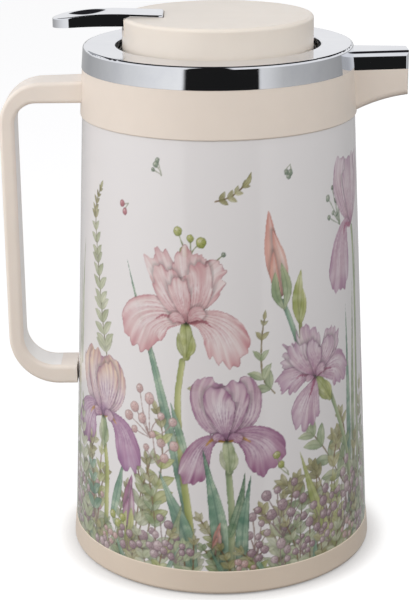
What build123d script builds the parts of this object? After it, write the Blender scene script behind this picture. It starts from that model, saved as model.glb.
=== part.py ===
from build123d import *
import os
from math import cos, sin, radians

# ---------------------------------------------------------------------------
# Table vacuum jug with a thumb-lever stopper.  Millimetres, +Z up.
# Origin: the jug's axis on the table.  Grip towards -X, spout towards +X.
# Names: _R radius, _Z height, _X station, HALF half of a width along Y.
# Outlines on Plane.XZ are (x or radius, z).
# ---------------------------------------------------------------------------

FIT = 0.05                   # play between parts that slide together

# --- outer body -------------------------------------------------------------
BASE_R_LOW = 72.5            # base ring at the table
BASE_R_TOP = 71.6            # base ring at the shell seam
BASE_BOTTOM_Z = 0.5
BASE_TOP_Z = 12.0
SHELL_R_LOW = 71.27          # shell at the base seam
SHELL_R_TOP = 62.6           # shell at the collar's lip
SHELL_TOP_Z = 210.8
SHELL_WALL = 0.8
SHELL_HIDDEN_Z = 215.0       # shell edge, inside the collar's groove
FOOT_H = 4.5
FOOT_R_IN, FOOT_R_OUT = 56.0, 62.0
FOOT_LIP_W, FOOT_LIP_Z = 1.5, 2.5   # lips on both sides of the foot ring
FLOOR_Z = 8                  # top of the base ring's floor
SOCKET_R_IN, SOCKET_R_OUT = 43, 46  # socket for the base plug
PLUG_BOTTOM_Z, PLUG_FLOOR_Z, PLUG_RIM_Z = 2, 6, 14

# --- collar, bezel and spout ------------------------------------------------
COLLAR_R_LOW = 63.4
COLLAR_R_TOP = 62.0
COLLAR_TOP_Z = 232.35
COLLAR_BORE_R = 57
COLLAR_SPIGOT_R = 60.4       # rises inside the bezel
COLLAR_SPIGOT_Z = 240.3
SHELF_Z = 231                # collar shelf under the pour liner's flange
RING_TOP_Z = 242.3
RING_R_LOW = 62.16
RING_R_TOP = 61.3
RING_BORE_R = 46.5
SPOUT_TIP_X = 86.1
SPOUT_ROOT_X = 61.5
SPOUT_START_X = 56           # where the spout's blocks start, inside the collar
SPOUT_HALF_ROOT = 10.5
SPOUT_HALF_TIP = 7.6
SPOUT_TIP_ROUND = 1.4
SPOUT_TOP_Z = 238.9
COVER_CAVITY_Z = 237.05      # underside of the plated cover's roof
COVER_WALL = 1.3
SPOUT_SEAM_Z = 230.7         # where the plated cover meets the cream spout
TROUGH_INSET = 1.6           # collar wall beside the liner's trough
SPOUT_UNDERSIDE = [          # (x, z), root to tip
    (56.0, 208.5), (62.5, 212.1), (68.8, 214.7), (75.7, 216.75), (SPOUT_TIP_X, 218.5)]

# --- pour liner -------------------------------------------------------------
LINER_BOTTOM_Z = 204.6       # rests on the neck gasket
LINER_BORE_R = 24.3
LINER_THREAD_R = 31          # wall behind the female thread
LINER_FLANGE_R = 57.9
GUTTER_R = 45.5
GUTTER_Z = 218

# --- vacuum flask -----------------------------------------------------------
GLASS_WALL = 1.2
GLASS_OUT_R = 55.0
GLASS_IN_R = 51.0            # outside of the inner wall
GLASS_NECK_OUT_R = 25.5
GLASS_NECK_IN_R = 22.5
GLASS_BOTTOM_Z = 17.0
GLASS_OUT_TOP_Z = 202
GLASS_LIP_Z = 203.0

# --- stopper ----------------------------------------------------------------
KNOB_R = 43.4
KNOB_TOP_Z = 255.2
KNOB_BOTTOM_Z = 236.5
KNOB_WALL = 2.5
TUBE_R = 17.5                # lower tube in the flask's neck
CUP_R = 28.0                 # threaded cup
CUP_BOTTOM_Z = 206
PLATE_Z, PLATE_TOP_Z = 233, 236     # plate on the cup, under the knob
KNOB_SCREW_PITCH = 46.6      # square pattern of the knob's four screws
KNOB_SCREW_R = 1.3
THREAD_LEAD = 20.0           # rise for one turn, three starts
THREAD_STARTS = 3
THREAD_SECTOR = 40.0         # angle each ridge takes at one height
THREAD_PLAY = 2.7            # angle left between mating flanks
MALE_Z0, MALE_Z1 = 207.0, 218.0
FEMALE_Z0, FEMALE_Z1 = 206.0, 218.0
MALE_ANGLE = 0.0
FEMALE_ANGLE = (MALE_ANGLE - 360.0 * (MALE_Z0 - FEMALE_Z0) / THREAD_LEAD
                - THREAD_SECTOR - THREAD_PLAY)

# --- lever and valve --------------------------------------------------------
PIVOT_X, PIVOT_Z = -33.0, 248.6
PIN_R = 1.5
PIN_HALF = 13.9
LEVER_HALF = 10.0
LEVER_TIP_X = -74.7
LEVER_END_X = -24.5
CHANNEL_W = 20.7             # lever channel in the knob
DISH_X, DISH_Z = -61.4, 254.75      # deepest point of the thumb dish
DISH_R = 21.0                # across the lever
DISH_HALF_L, DISH_RISE = 14, 3.02
STEM_R = 2.0
VALVE_SEAT_Z = 190.5
DISC_Z = 192                 # underside of the valve disc

# --- grip -------------------------------------------------------------------
GRIP_OUT_X = -100.0
GRIP_IN_X = -93.2
GRIP_HALF = 10.2
GRIP_ROOT_X = -56            # upper arm before it is coped to the collar
ARM_TOP_Z, ARM_TOP_UNDER = 227.0, 216.7
ARM_TOP_DROP = 1.2           # fall of the upper arm's top towards the grip
ARM_LOW_Z, ARM_LOW_UPPER = 81.0, 90.0
ARM_LOW_END_X = -68.35
ROUND_OUT_TOP, ROUND_OUT_LOW = 19.5, 23.5   # bends on the outer side
ROUND_IN_TOP, ROUND_IN_LOW = 10, 14.5       # bends on the finger side
GRIP_WALL = 2.3
GRIP_CHANNEL_HALF = 7.9
LID_DEPTH = 1.9
HOLLOW_TOP_X, HOLLOW_LOW_X = -70, -76       # ends of the hollow in the two arms
BOSS_Z = (ARM_LOW_Z + ARM_LOW_UPPER) / 2    # lower fixing
BOSS_R = 4.0
BOSS_END_X = -67.3
UPPER_SCREW_Z = 221.8
GRIP_SCREW_R = 1.6
SCREW_HEAD_R, SCREW_HEAD_H = 3.2, 2.2


# ===========================================================================
# Shared helpers
# ===========================================================================
def shell_radius(z):
    """Outside radius of the shell at height z."""
    slope = (SHELL_R_TOP - SHELL_R_LOW) / (SHELL_TOP_Z - BASE_TOP_Z)
    return SHELL_R_LOW + slope * (z - BASE_TOP_Z)


def collar_radius(z):
    """Outside radius of the collar's cone at height z."""
    slope = (COLLAR_R_TOP - COLLAR_R_LOW) / (COLLAR_TOP_Z - SHELL_TOP_Z)
    return COLLAR_R_LOW + slope * (z - SHELL_TOP_Z)


def spout_half(x):
    """Half width of the spout's outside at station x."""
    slope = (SPOUT_HALF_TIP - SPOUT_HALF_ROOT) / (SPOUT_TIP_X - SPOUT_ROOT_X)
    return SPOUT_HALF_ROOT + slope * (x - SPOUT_ROOT_X)


def taper(x0, x1, inset):
    """Corners of the spout's plan between two stations, drawn in by inset."""
    half0, half1 = spout_half(x0) - inset, spout_half(x1) - inset
    return [(x0, -half0), (x1, -half1), (x1, half1), (x0, half0)]


def round_corner(sketch, x, y, radius):
    """Fillet the corner at a point of the active sketch's own plane."""
    fillet(sketch.vertices().filter_by(
        lambda v: abs(v.X - x) < 0.05 and abs(v.Y - y) < 0.05), radius=radius)


def turned(outline):
    """Part made by turning one closed (radius, z) outline about the jug's axis."""
    with BuildPart() as piece:
        with BuildSketch(Plane.XZ):
            with BuildLine():
                Polyline(*outline, close=True)
            make_face()
        revolve(axis=Axis.Z)
    return piece.part


def thread_ridges(r_in, r_out, z0, z1, first_angle):
    """Helical ridges of a multi-start thread, as twisted sectors."""
    ridges = []
    twist = 360.0 * (z1 - z0) / THREAD_LEAD
    half = THREAD_SECTOR / 2

    def point(radius, angle):
        return Vector(radius * cos(angle), radius * sin(angle), z0)

    for start in range(THREAD_STARTS):
        middle = first_angle + start * 360.0 / THREAD_STARTS
        low, mid, high = (radians(a) for a in (middle - half, middle, middle + half))
        outline = Wire([
            Edge.make_line(point(r_in, low), point(r_out, low)),
            Edge.make_three_point_arc(point(r_out, low), point(r_out, mid), point(r_out, high)),
            Edge.make_line(point(r_out, high), point(r_in, high)),
            Edge.make_three_point_arc(point(r_in, high), point(r_in, mid), point(r_in, low)),
        ])
        ridges.append(Solid.extrude_linear_with_rotation(
            Face(outline), center=(0, 0, z0), normal=(0, 0, z1 - z0), angle=twist))
    return ridges


# ===========================================================================
# Outer body
# ===========================================================================
def outer_shell():
    edge_r = shell_radius(SHELL_HIDDEN_Z)
    with BuildPart() as shell:
        with BuildSketch(Plane.XZ):
            with BuildLine():
                Polyline((SHELL_R_LOW, BASE_TOP_Z), (edge_r, SHELL_HIDDEN_Z),
                         (edge_r - SHELL_WALL, SHELL_HIDDEN_Z),
                         (SHELL_R_LOW - SHELL_WALL, BASE_TOP_Z), close=True)
            make_face()
        revolve(axis=Axis.Z)
        # hole for the grip's lower spigot
        with BuildSketch(Plane.YZ.offset(-60)):
            with Locations((0, BOSS_Z)):
                Circle(BOSS_R + FIT)
        extrude(amount=-20, mode=Mode.SUBTRACT)
    return shell.part


def base_ring():
    rim_r = 70.5                     # inside of the outer rim
    spigot_in, spigot_out, spigot_top = 67.8, 69.8, 26
    with BuildPart() as ring:
        with BuildSketch(Plane.XZ) as profile:
            with BuildLine():
                Polyline((rim_r, BASE_BOTTOM_Z), (BASE_R_LOW, BASE_BOTTOM_Z),
                         (BASE_R_TOP, BASE_TOP_Z),
                         (SHELL_R_LOW - SHELL_WALL - FIT, BASE_TOP_Z),
                         (spigot_out, spigot_top), (spigot_in, spigot_top),
                         (spigot_in, FLOOR_Z), (SOCKET_R_OUT, FLOOR_Z),
                         (SOCKET_R_OUT, PLUG_RIM_Z), (SOCKET_R_IN, PLUG_RIM_Z),
                         (SOCKET_R_IN, PLUG_BOTTOM_Z), (SOCKET_R_OUT, PLUG_BOTTOM_Z),
                         (SOCKET_R_OUT, FOOT_H),
                         (FOOT_R_IN - FOOT_LIP_W, FOOT_H), (FOOT_R_IN - FOOT_LIP_W, FOOT_LIP_Z),
                         (FOOT_R_IN - FIT, FOOT_LIP_Z), (FOOT_R_IN - FIT, FOOT_H),
                         (FOOT_R_OUT + FIT, FOOT_H), (FOOT_R_OUT + FIT, FOOT_LIP_Z),
                         (FOOT_R_OUT + FOOT_LIP_W, FOOT_LIP_Z), (FOOT_R_OUT + FOOT_LIP_W, FOOT_H),
                         (rim_r, FOOT_H), close=True)
            make_face()
            round_corner(profile, BASE_R_LOW, BASE_BOTTOM_Z, 1.8)
            round_corner(profile, BASE_R_TOP, BASE_TOP_Z, 0.5)
        revolve(axis=Axis.Z)
        # stiffening ribs on the floor, inside the spigot
        with BuildSketch(Plane.XY.offset(FLOOR_Z - 0.5)):
            with PolarLocations(56.9, 12):
                Rectangle(22.8, 2)
        extrude(amount=5.3)
    return ring.part


def base_plug():
    plug_r = SOCKET_R_IN - FIT
    with BuildPart() as plug:
        with BuildSketch(Plane.XZ):
            with BuildLine():
                Polyline((0, PLUG_BOTTOM_Z), (plug_r, PLUG_BOTTOM_Z), (plug_r, PLUG_RIM_Z),
                         (40, PLUG_RIM_Z), (40, PLUG_FLOOR_Z), (0, PLUG_FLOOR_Z), close=True)
            make_face()
        revolve(axis=Axis.Z)
        # two finger pockets leave a grip bar across the underside
        with BuildSketch(Plane.XY.offset(PLUG_BOTTOM_Z)):
            Circle(31)
            Rectangle(64, 9, mode=Mode.SUBTRACT)
        extrude(amount=2.5, mode=Mode.SUBTRACT)
    return plug.part


def foot_ring():
    with BuildPart() as ring:
        with BuildSketch(Plane.XY):
            Circle(FOOT_R_OUT)
            Circle(FOOT_R_IN, mode=Mode.SUBTRACT)
        extrude(amount=FOOT_H)
    return ring.part


def refill_cushion():
    outer_r, inner_r = 30, 18
    with BuildPart() as cushion:
        with BuildSketch(Plane.XY.offset(PLUG_FLOOR_Z)):
            Circle(outer_r)
            Circle(inner_r, mode=Mode.SUBTRACT)
        extrude(amount=GLASS_BOTTOM_Z - PLUG_FLOOR_Z)
        # relief holes make the ring springy
        with BuildSketch(Plane.XY.offset(PLUG_FLOOR_Z)):
            with PolarLocations((outer_r + inner_r) / 2, 10):
                Circle(2.6)
        extrude(amount=7, mode=Mode.SUBTRACT)
    return cushion.part


# ===========================================================================
# Vacuum flask
# ===========================================================================
def glass_vessel(radius, neck_r, levels, rounds):
    """Open glass wall.  levels: bottom, shoulder, neck and top heights.
    rounds: fillets at the bottom, the shoulder and the neck's root."""
    bottom, shoulder, neck, top = levels
    with BuildPart() as vessel:
        with BuildSketch(Plane.XZ) as profile:
            with BuildLine():
                Polyline((0, bottom), (radius, bottom), (radius, shoulder),
                         (neck_r, neck), (neck_r, top), (0, top), close=True)
            make_face()
            round_corner(profile, radius, bottom, rounds[0])
            round_corner(profile, radius, shoulder, rounds[1])
            round_corner(profile, neck_r, neck, rounds[2])
        revolve(axis=Axis.Z)
        offset(amount=-GLASS_WALL, openings=vessel.faces().sort_by(Axis.Z)[-1])
    return vessel.part


def glass_outer():
    vessel = glass_vessel(GLASS_OUT_R, GLASS_NECK_OUT_R,
                          (GLASS_BOTTOM_Z, 160, 187, GLASS_OUT_TOP_Z), (24, 22, 6))
    tip_top = GLASS_BOTTOM_Z + 0.6
    with BuildPart() as glass:
        add(vessel)
        # sealed evacuation tip under the flask
        with BuildSketch(Plane.XZ):
            with BuildLine():
                Polyline((0, 11.5), (1.2, 12), (3.2, tip_top), (0, tip_top), close=True)
            make_face()
        revolve(axis=Axis.Z)
    return glass.part


def glass_inner():
    vessel = glass_vessel(GLASS_IN_R, GLASS_NECK_IN_R,
                          (21, 158.5, 184.6, GLASS_LIP_Z), (20, 18, 8))
    with BuildPart() as glass:
        add(vessel)
        # lip that joins the two walls
        with BuildSketch(Plane.XY.offset(GLASS_OUT_TOP_Z)):
            Circle(GLASS_NECK_OUT_R)
            Circle(GLASS_NECK_IN_R - GLASS_WALL, mode=Mode.SUBTRACT)
        extrude(amount=GLASS_LIP_Z - GLASS_OUT_TOP_Z)
    return glass.part


def glass_spacer_pads():
    gap_out = GLASS_OUT_R - GLASS_WALL
    with BuildPart() as pads:
        for turn in (0, 120, 240):
            with BuildSketch(Plane.XZ.rotated((0, 0, turn))):
                with Locations(((GLASS_IN_R + gap_out) / 2, 60)):
                    Rectangle(gap_out - GLASS_IN_R - 0.04, 12)
            revolve(axis=Axis.Z, revolution_arc=13)
    return pads.part


def neck_gasket():
    bore_r, outer_r, skirt_z = 21.3, 27, 198
    skirt_r = GLASS_NECK_OUT_R + FIT
    return turned([(bore_r, GLASS_LIP_Z), (skirt_r, GLASS_LIP_Z), (skirt_r, skirt_z),
                   (outer_r, skirt_z), (outer_r, LINER_BOTTOM_Z), (bore_r, LINER_BOTTOM_Z)])


# ===========================================================================
# Collar, pour liner and plated bezel
# ===========================================================================
def spout_block():
    """Lower half of the spout: plan taper cut to the swept underside."""
    with BuildPart() as block:
        with BuildSketch(Plane.XZ):
            with BuildLine():
                Spline(*SPOUT_UNDERSIDE, tangents=[(1.0, 0.62), (1.0, 0.10)])
                Polyline(SPOUT_UNDERSIDE[-1], (SPOUT_TIP_X, SPOUT_SEAM_Z),
                         (SPOUT_START_X, SPOUT_SEAM_Z), SPOUT_UNDERSIDE[0])
            make_face()
        extrude(amount=20, both=True)
        with BuildSketch(Plane.XY.offset(200)):
            Polygon(*taper(SPOUT_START_X, SPOUT_TIP_X, 0), align=None)
        extrude(amount=45, mode=Mode.INTERSECT)
        # soften the two long lower edges
        low_edges = block.edges().filter_by(
            lambda e: e.length > 20 and e.center().Z < 220 and abs(e.center().Y) > 6)
        fillet(low_edges, radius=3.0)
        # round the tip's upright corners
        with BuildSketch(Plane.XY.offset(200)) as plan:
            Polygon(*taper(50, SPOUT_TIP_X, 0), align=None)
            fillet(plan.vertices().filter_by(lambda v: v.X > 86), radius=SPOUT_TIP_ROUND)
        extrude(amount=45, mode=Mode.INTERSECT)
    return block.part


def trough_block(outline, x0, x1, inset):
    """Side outline (x, z) cut to the spout's plan between x0 and x1."""
    with BuildPart() as block:
        with BuildSketch(Plane.XZ):
            with BuildLine():
                Polyline(*outline, close=True)
            make_face()
        extrude(amount=20, both=True)
        with BuildSketch(Plane.XY.offset(210)):
            Polygon(*taper(x0, x1, inset), align=None)
        extrude(amount=40, mode=Mode.INTERSECT)
    return block.part


def shoulder_collar():
    lower_r, lower_z = 61.9, 206     # part that hangs inside the shell
    spigot_in = LINER_FLANGE_R + FIT
    shelf_r, shelf_under = 50, 229
    spout = spout_block()
    # channel for the pour liner's trough
    trough_space = trough_block([(42, 215.75), (88, 220.35), (88, 242), (42, 242)],
                                42, 88, TROUGH_INSET)
    with BuildPart() as collar:
        with BuildSketch(Plane.XZ) as profile:
            with BuildLine():
                Polyline((COLLAR_R_LOW, SHELL_TOP_Z), (COLLAR_R_TOP, COLLAR_TOP_Z),
                         (COLLAR_SPIGOT_R, COLLAR_TOP_Z), (COLLAR_SPIGOT_R, COLLAR_SPIGOT_Z),
                         (spigot_in, COLLAR_SPIGOT_Z), (spigot_in, SHELF_Z), (shelf_r, SHELF_Z),
                         (shelf_r, shelf_under), (COLLAR_BORE_R, shelf_under),
                         (COLLAR_BORE_R, lower_z), (lower_r, lower_z), (lower_r, SHELL_TOP_Z),
                         close=True)
            make_face()
            round_corner(profile, COLLAR_R_LOW, SHELL_TOP_Z, 0.65)
        revolve(axis=Axis.Z)
        add(spout)
        # locating tongue inside the plated cover
        with BuildSketch(Plane.XY.offset(SPOUT_SEAM_Z - 0.5)):
            Polygon(*taper(SPOUT_START_X, SPOUT_TIP_X, COVER_WALL + FIT), align=None)
        extrude(amount=COVER_CAVITY_Z - FIT - SPOUT_SEAM_Z + 0.5)
        # hollow the collar behind the spout
        with BuildSketch(Plane.XZ):
            with BuildLine():
                Polyline((0, 200), (COLLAR_BORE_R, 200), (COLLAR_BORE_R, shelf_under),
                         (shelf_r, shelf_under), (shelf_r, SHELF_Z), (spigot_in, SHELF_Z),
                         (spigot_in, 245), (0, 245), close=True)
            make_face()
        revolve(axis=Axis.Z, mode=Mode.SUBTRACT)
        # groove for the shell's upper edge
        with BuildSketch(Plane.XZ):
            with BuildLine():
                Polyline((lower_r, 205), (61.55, SHELL_HIDDEN_Z), (62.47, SHELL_HIDDEN_Z),
                         (62.66, SHELL_TOP_Z), (62.9, 205), close=True)
            make_face()
        revolve(axis=Axis.Z, mode=Mode.SUBTRACT)
        add(trough_space, mode=Mode.SUBTRACT)
        # hole for the upper grip screw
        with BuildSketch(Plane.YZ.offset(-50)):
            with Locations((0, UPPER_SCREW_Z)):
                Circle(GRIP_SCREW_R + FIT)
        extrude(amount=-16, mode=Mode.SUBTRACT)
    return collar.part


def pour_liner():
    sleeve_r, sleeve_top = 33, 216
    gutter_out = 47
    flange_top = 233
    trough_end, trough_top = SPOUT_TIP_X - 0.2, 234.8
    ridges = thread_ridges(28.5, 31.3, FEMALE_Z0, FEMALE_Z1, FEMALE_ANGLE)
    # outside of the trough, and the liquid's way through it
    trough_shape = trough_block(
        [(43, 216), (trough_end, 220.25), (trough_end, trough_top), (43, trough_top)],
        43, SPOUT_TIP_X, TROUGH_INSET + FIT)
    trough_bore = trough_block(
        [(38, GUTTER_Z), (44, GUTTER_Z), (88, 222.0), (88, 245), (38, 245)],
        38, 88, 2.85)
    with BuildPart() as liner:
        with BuildSketch(Plane.XZ):
            with BuildLine():
                Polyline((LINER_BORE_R, LINER_BOTTOM_Z), (sleeve_r, LINER_BOTTOM_Z),
                         (sleeve_r, sleeve_top), (gutter_out, sleeve_top), (gutter_out, SHELF_Z),
                         (LINER_FLANGE_R, SHELF_Z), (LINER_FLANGE_R, flange_top),
                         (GUTTER_R, flange_top), (GUTTER_R, GUTTER_Z),
                         (LINER_THREAD_R, GUTTER_Z), (LINER_THREAD_R, FEMALE_Z0),
                         (LINER_BORE_R, FEMALE_Z0), close=True)
            make_face()
        revolve(axis=Axis.Z)
        add(trough_shape)
        # keep the trough out of the gutter, then open the rim into it
        with BuildSketch(Plane.XY.offset(GUTTER_Z)):
            Circle(GUTTER_R)
        extrude(amount=30, mode=Mode.SUBTRACT)
        add(trough_bore, mode=Mode.SUBTRACT)
        for ridge in ridges:
            add(ridge)
    return liner.part


def spout_cover():
    with BuildPart() as cover:
        with BuildSketch(Plane.XY.offset(SPOUT_SEAM_Z)):
            Polygon(*taper(SPOUT_START_X, SPOUT_TIP_X, 0), align=None)
        extrude(amount=SPOUT_TOP_Z - SPOUT_SEAM_Z)
        # broad curve along the two long upper edges
        long_edges = cover.edges().filter_by(
            lambda e: e.length > 20 and e.center().Z > SPOUT_TOP_Z - 0.1
            and abs(e.center().Y) > 6)
        fillet(long_edges, radius=2.4)
        with BuildSketch(Plane.XY.offset(SPOUT_SEAM_Z)) as plan:
            Polygon(*taper(50, SPOUT_TIP_X, 0), align=None)
            fillet(plan.vertices().filter_by(lambda v: v.X > 86), radius=SPOUT_TIP_ROUND)
        extrude(amount=20, mode=Mode.INTERSECT)
        with BuildSketch(Plane.XY.offset(SPOUT_SEAM_Z)):
            Polygon(*taper(50, 90, COVER_WALL), align=None)
        extrude(amount=COVER_CAVITY_Z - SPOUT_SEAM_Z, mode=Mode.SUBTRACT)
        # leave the collar and its spigot clear
        with BuildSketch(Plane.XY.offset(SPOUT_SEAM_Z - 1)):
            Circle(62.12)
        extrude(amount=COLLAR_TOP_Z - SPOUT_SEAM_Z + 1, mode=Mode.SUBTRACT)
        with BuildSketch(Plane.XY.offset(COLLAR_TOP_Z - 0.5)):
            Circle(COLLAR_SPIGOT_R + FIT)
        extrude(amount=COLLAR_SPIGOT_Z - COLLAR_TOP_Z + 0.5, mode=Mode.SUBTRACT)
    return cover.part


def bezel_passage():
    """Opening through the bezel's skirt into the spout cover."""
    with BuildPart() as passage:
        with BuildSketch(Plane.XY.offset(COLLAR_TOP_Z - 1)):
            Polygon(*taper(50, 64, COVER_WALL), align=None)
        extrude(amount=COVER_CAVITY_Z - COLLAR_TOP_Z + 1)
    return passage.part


def chrome_bezel():
    bore_lip_z, bore_lip_r = 235, 47.6
    skirt_in = COLLAR_SPIGOT_R + FIT
    cover = spout_cover()
    passage = bezel_passage()
    with BuildPart() as bezel:
        with BuildSketch(Plane.XZ) as profile:
            with BuildLine():
                Polyline((RING_R_LOW, COLLAR_TOP_Z), (RING_R_TOP, RING_TOP_Z),
                         (RING_BORE_R, RING_TOP_Z), (RING_BORE_R, bore_lip_z),
                         (bore_lip_r, bore_lip_z), (bore_lip_r, COLLAR_SPIGOT_Z),
                         (skirt_in, COLLAR_SPIGOT_Z), (skirt_in, COLLAR_TOP_Z), close=True)
            make_face()
            round_corner(profile, RING_R_TOP, RING_TOP_Z, 1.3)
            round_corner(profile, RING_BORE_R, RING_TOP_Z, 0.8)
        revolve(axis=Axis.Z)
        add(passage, mode=Mode.SUBTRACT)
        add(cover)
    return bezel.part


# ===========================================================================
# Grip
# ===========================================================================
def grip_block():
    """Solid C-shaped grip with both arms."""
    with BuildPart() as block:
        with BuildSketch(Plane.XZ) as side:
            with BuildLine():
                Polyline((GRIP_ROOT_X, ARM_TOP_Z), (GRIP_OUT_X, ARM_TOP_Z - ARM_TOP_DROP),
                         (GRIP_OUT_X, ARM_LOW_Z), (ARM_LOW_END_X, ARM_LOW_Z),
                         (ARM_LOW_END_X, ARM_LOW_UPPER), (GRIP_IN_X, ARM_LOW_UPPER),
                         (GRIP_IN_X, ARM_TOP_UNDER), (GRIP_ROOT_X, ARM_TOP_UNDER), close=True)
            make_face()
            round_corner(side, GRIP_OUT_X, ARM_TOP_Z - ARM_TOP_DROP, ROUND_OUT_TOP)
            round_corner(side, GRIP_OUT_X, ARM_LOW_Z, ROUND_OUT_LOW)
            round_corner(side, GRIP_IN_X, ARM_TOP_UNDER, ROUND_IN_TOP)
            round_corner(side, GRIP_IN_X, ARM_LOW_UPPER, ROUND_IN_LOW)
        extrude(amount=GRIP_HALF, both=True)
        long_edges = block.edges().filter_by(
            lambda e: abs(abs(e.center().Y) - GRIP_HALF) < 0.01
            and e.center().X < ARM_LOW_END_X + 4
            and abs(e.center().X - ARM_LOW_END_X) > 0.5)
        fillet(long_edges, radius=1.8)
    return block.part


def grip_channel():
    """Hollow behind the lid, open towards the fingers."""
    open_by = 6                      # how far it runs past the finger side
    wall_x, top_z = GRIP_OUT_X + GRIP_WALL, ARM_TOP_Z - 3.6
    low_z = ARM_LOW_Z + GRIP_WALL
    with BuildPart() as channel:
        with BuildSketch(Plane.XZ) as side:
            with BuildLine():
                Polyline((HOLLOW_TOP_X, ARM_TOP_Z - 2.6), (wall_x, top_z), (wall_x, low_z),
                         (HOLLOW_LOW_X, low_z), (HOLLOW_LOW_X, ARM_LOW_UPPER + open_by),
                         (GRIP_IN_X + open_by, ARM_LOW_UPPER + open_by),
                         (GRIP_IN_X + open_by, ARM_TOP_UNDER - open_by),
                         (HOLLOW_TOP_X, ARM_TOP_UNDER - open_by), close=True)
            make_face()
            round_corner(side, wall_x, top_z, ROUND_OUT_TOP - GRIP_WALL)
            round_corner(side, wall_x, low_z, ROUND_OUT_LOW - GRIP_WALL)
        extrude(amount=GRIP_CHANNEL_HALF, both=True)
    return channel.part


def handle_outer():
    block = grip_block()
    channel = grip_channel()
    # the collar's outside, to cope the upper arm against it
    cope = turned([(0, 205), (collar_radius(205), 205), (collar_radius(240), 240), (0, 240)])
    with BuildPart() as handle:
        add(block)
        add(channel, mode=Mode.SUBTRACT)
        add(cope, mode=Mode.SUBTRACT)
        # cross webs stiffen the channel
        for z in (120, 150, 180):
            with BuildSketch(Plane.XY.offset(z)):
                with Locations((GRIP_OUT_X + 3.3, 0)):
                    Rectangle(2.2, 16)
            extrude(amount=1.6)
        # spigot through the shell's wall
        with BuildSketch(Plane.YZ.offset(ARM_LOW_END_X - 1)):
            with Locations((0, BOSS_Z)):
                Circle(BOSS_R)
        extrude(amount=BOSS_END_X - ARM_LOW_END_X + 1)
        # pilot holes for the two screws: start x, z, depth towards +X
        for x, z, depth in ((-75.5, BOSS_Z, 12), (-69.5, UPPER_SCREW_Z, 10)):
            with BuildSketch(Plane.YZ.offset(x)):
                with Locations((0, z)):
                    Circle(GRIP_SCREW_R)
            extrude(amount=depth, mode=Mode.SUBTRACT)
    return handle.part


def handle_inner():
    """Lid along the finger side of the grip."""
    deep_x = GRIP_IN_X - LID_DEPTH
    deep_top, deep_low = ARM_TOP_UNDER + LID_DEPTH, ARM_LOW_UPPER - LID_DEPTH
    end_top, end_low = HOLLOW_TOP_X - FIT, HOLLOW_LOW_X - FIT
    with BuildPart() as lid:
        with BuildSketch(Plane.XZ) as side:
            with BuildLine():
                Polyline((end_top, deep_top), (deep_x, deep_top), (deep_x, deep_low),
                         (end_low, deep_low), (end_low, ARM_LOW_UPPER),
                         (GRIP_IN_X, ARM_LOW_UPPER), (GRIP_IN_X, ARM_TOP_UNDER),
                         (end_top, ARM_TOP_UNDER), close=True)
            make_face()
            round_corner(side, deep_x, deep_top, ROUND_IN_TOP + LID_DEPTH)
            round_corner(side, deep_x, deep_low, ROUND_IN_LOW + LID_DEPTH)
            round_corner(side, GRIP_IN_X, ARM_TOP_UNDER, ROUND_IN_TOP)
            round_corner(side, GRIP_IN_X, ARM_LOW_UPPER, ROUND_IN_LOW)
        extrude(amount=GRIP_CHANNEL_HALF - FIT, both=True)
    return lid.part


def handle_anchor():
    """Curved plate inside the shell, behind the lower fixing."""
    low_z, top_z, thickness, arc = 75, 96, 1.3, 20
    low_r, top_r = (shell_radius(z) - SHELL_WALL - 0.2 for z in (low_z, top_z))
    with BuildPart() as anchor:
        with BuildSketch(Plane.XZ.rotated((0, 0, 180 - arc / 2))):
            with BuildLine():
                Polyline((low_r, low_z), (top_r, top_z), (top_r - thickness, top_z),
                         (low_r - thickness, low_z), close=True)
            make_face()
        revolve(axis=Axis.Z, revolution_arc=arc)
        with BuildSketch(Plane.YZ.offset(-60)):
            with Locations((0, BOSS_Z)):
                Circle(GRIP_SCREW_R + FIT)
        extrude(amount=-12, mode=Mode.SUBTRACT)
    return anchor.part


def handle_screws():
    # x under the head, z, shank length: the upper head bears on the collar's
    # inner wall, the lower one on the anchor plate
    screws = ((-56.9, UPPER_SCREW_Z, 12.6), (-65.55, BOSS_Z, 9.9))
    with BuildPart() as pair:
        for x, z, shank in screws:
            with BuildSketch(Plane.YZ.offset(x)):
                with Locations((0, z)):
                    Circle(GRIP_SCREW_R)
            extrude(amount=-shank)
            with BuildSketch(Plane.YZ.offset(x)):
                with Locations((0, z)):
                    Circle(SCREW_HEAD_R)
            extrude(amount=SCREW_HEAD_H)
            # cross recess
            with BuildSketch(Plane.YZ.offset(x + SCREW_HEAD_H)):
                with Locations((0, z)):
                    Rectangle(3.4, 0.9)
                    Rectangle(0.9, 3.4)
            extrude(amount=-1.2, mode=Mode.SUBTRACT)
    return pair.part


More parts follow.
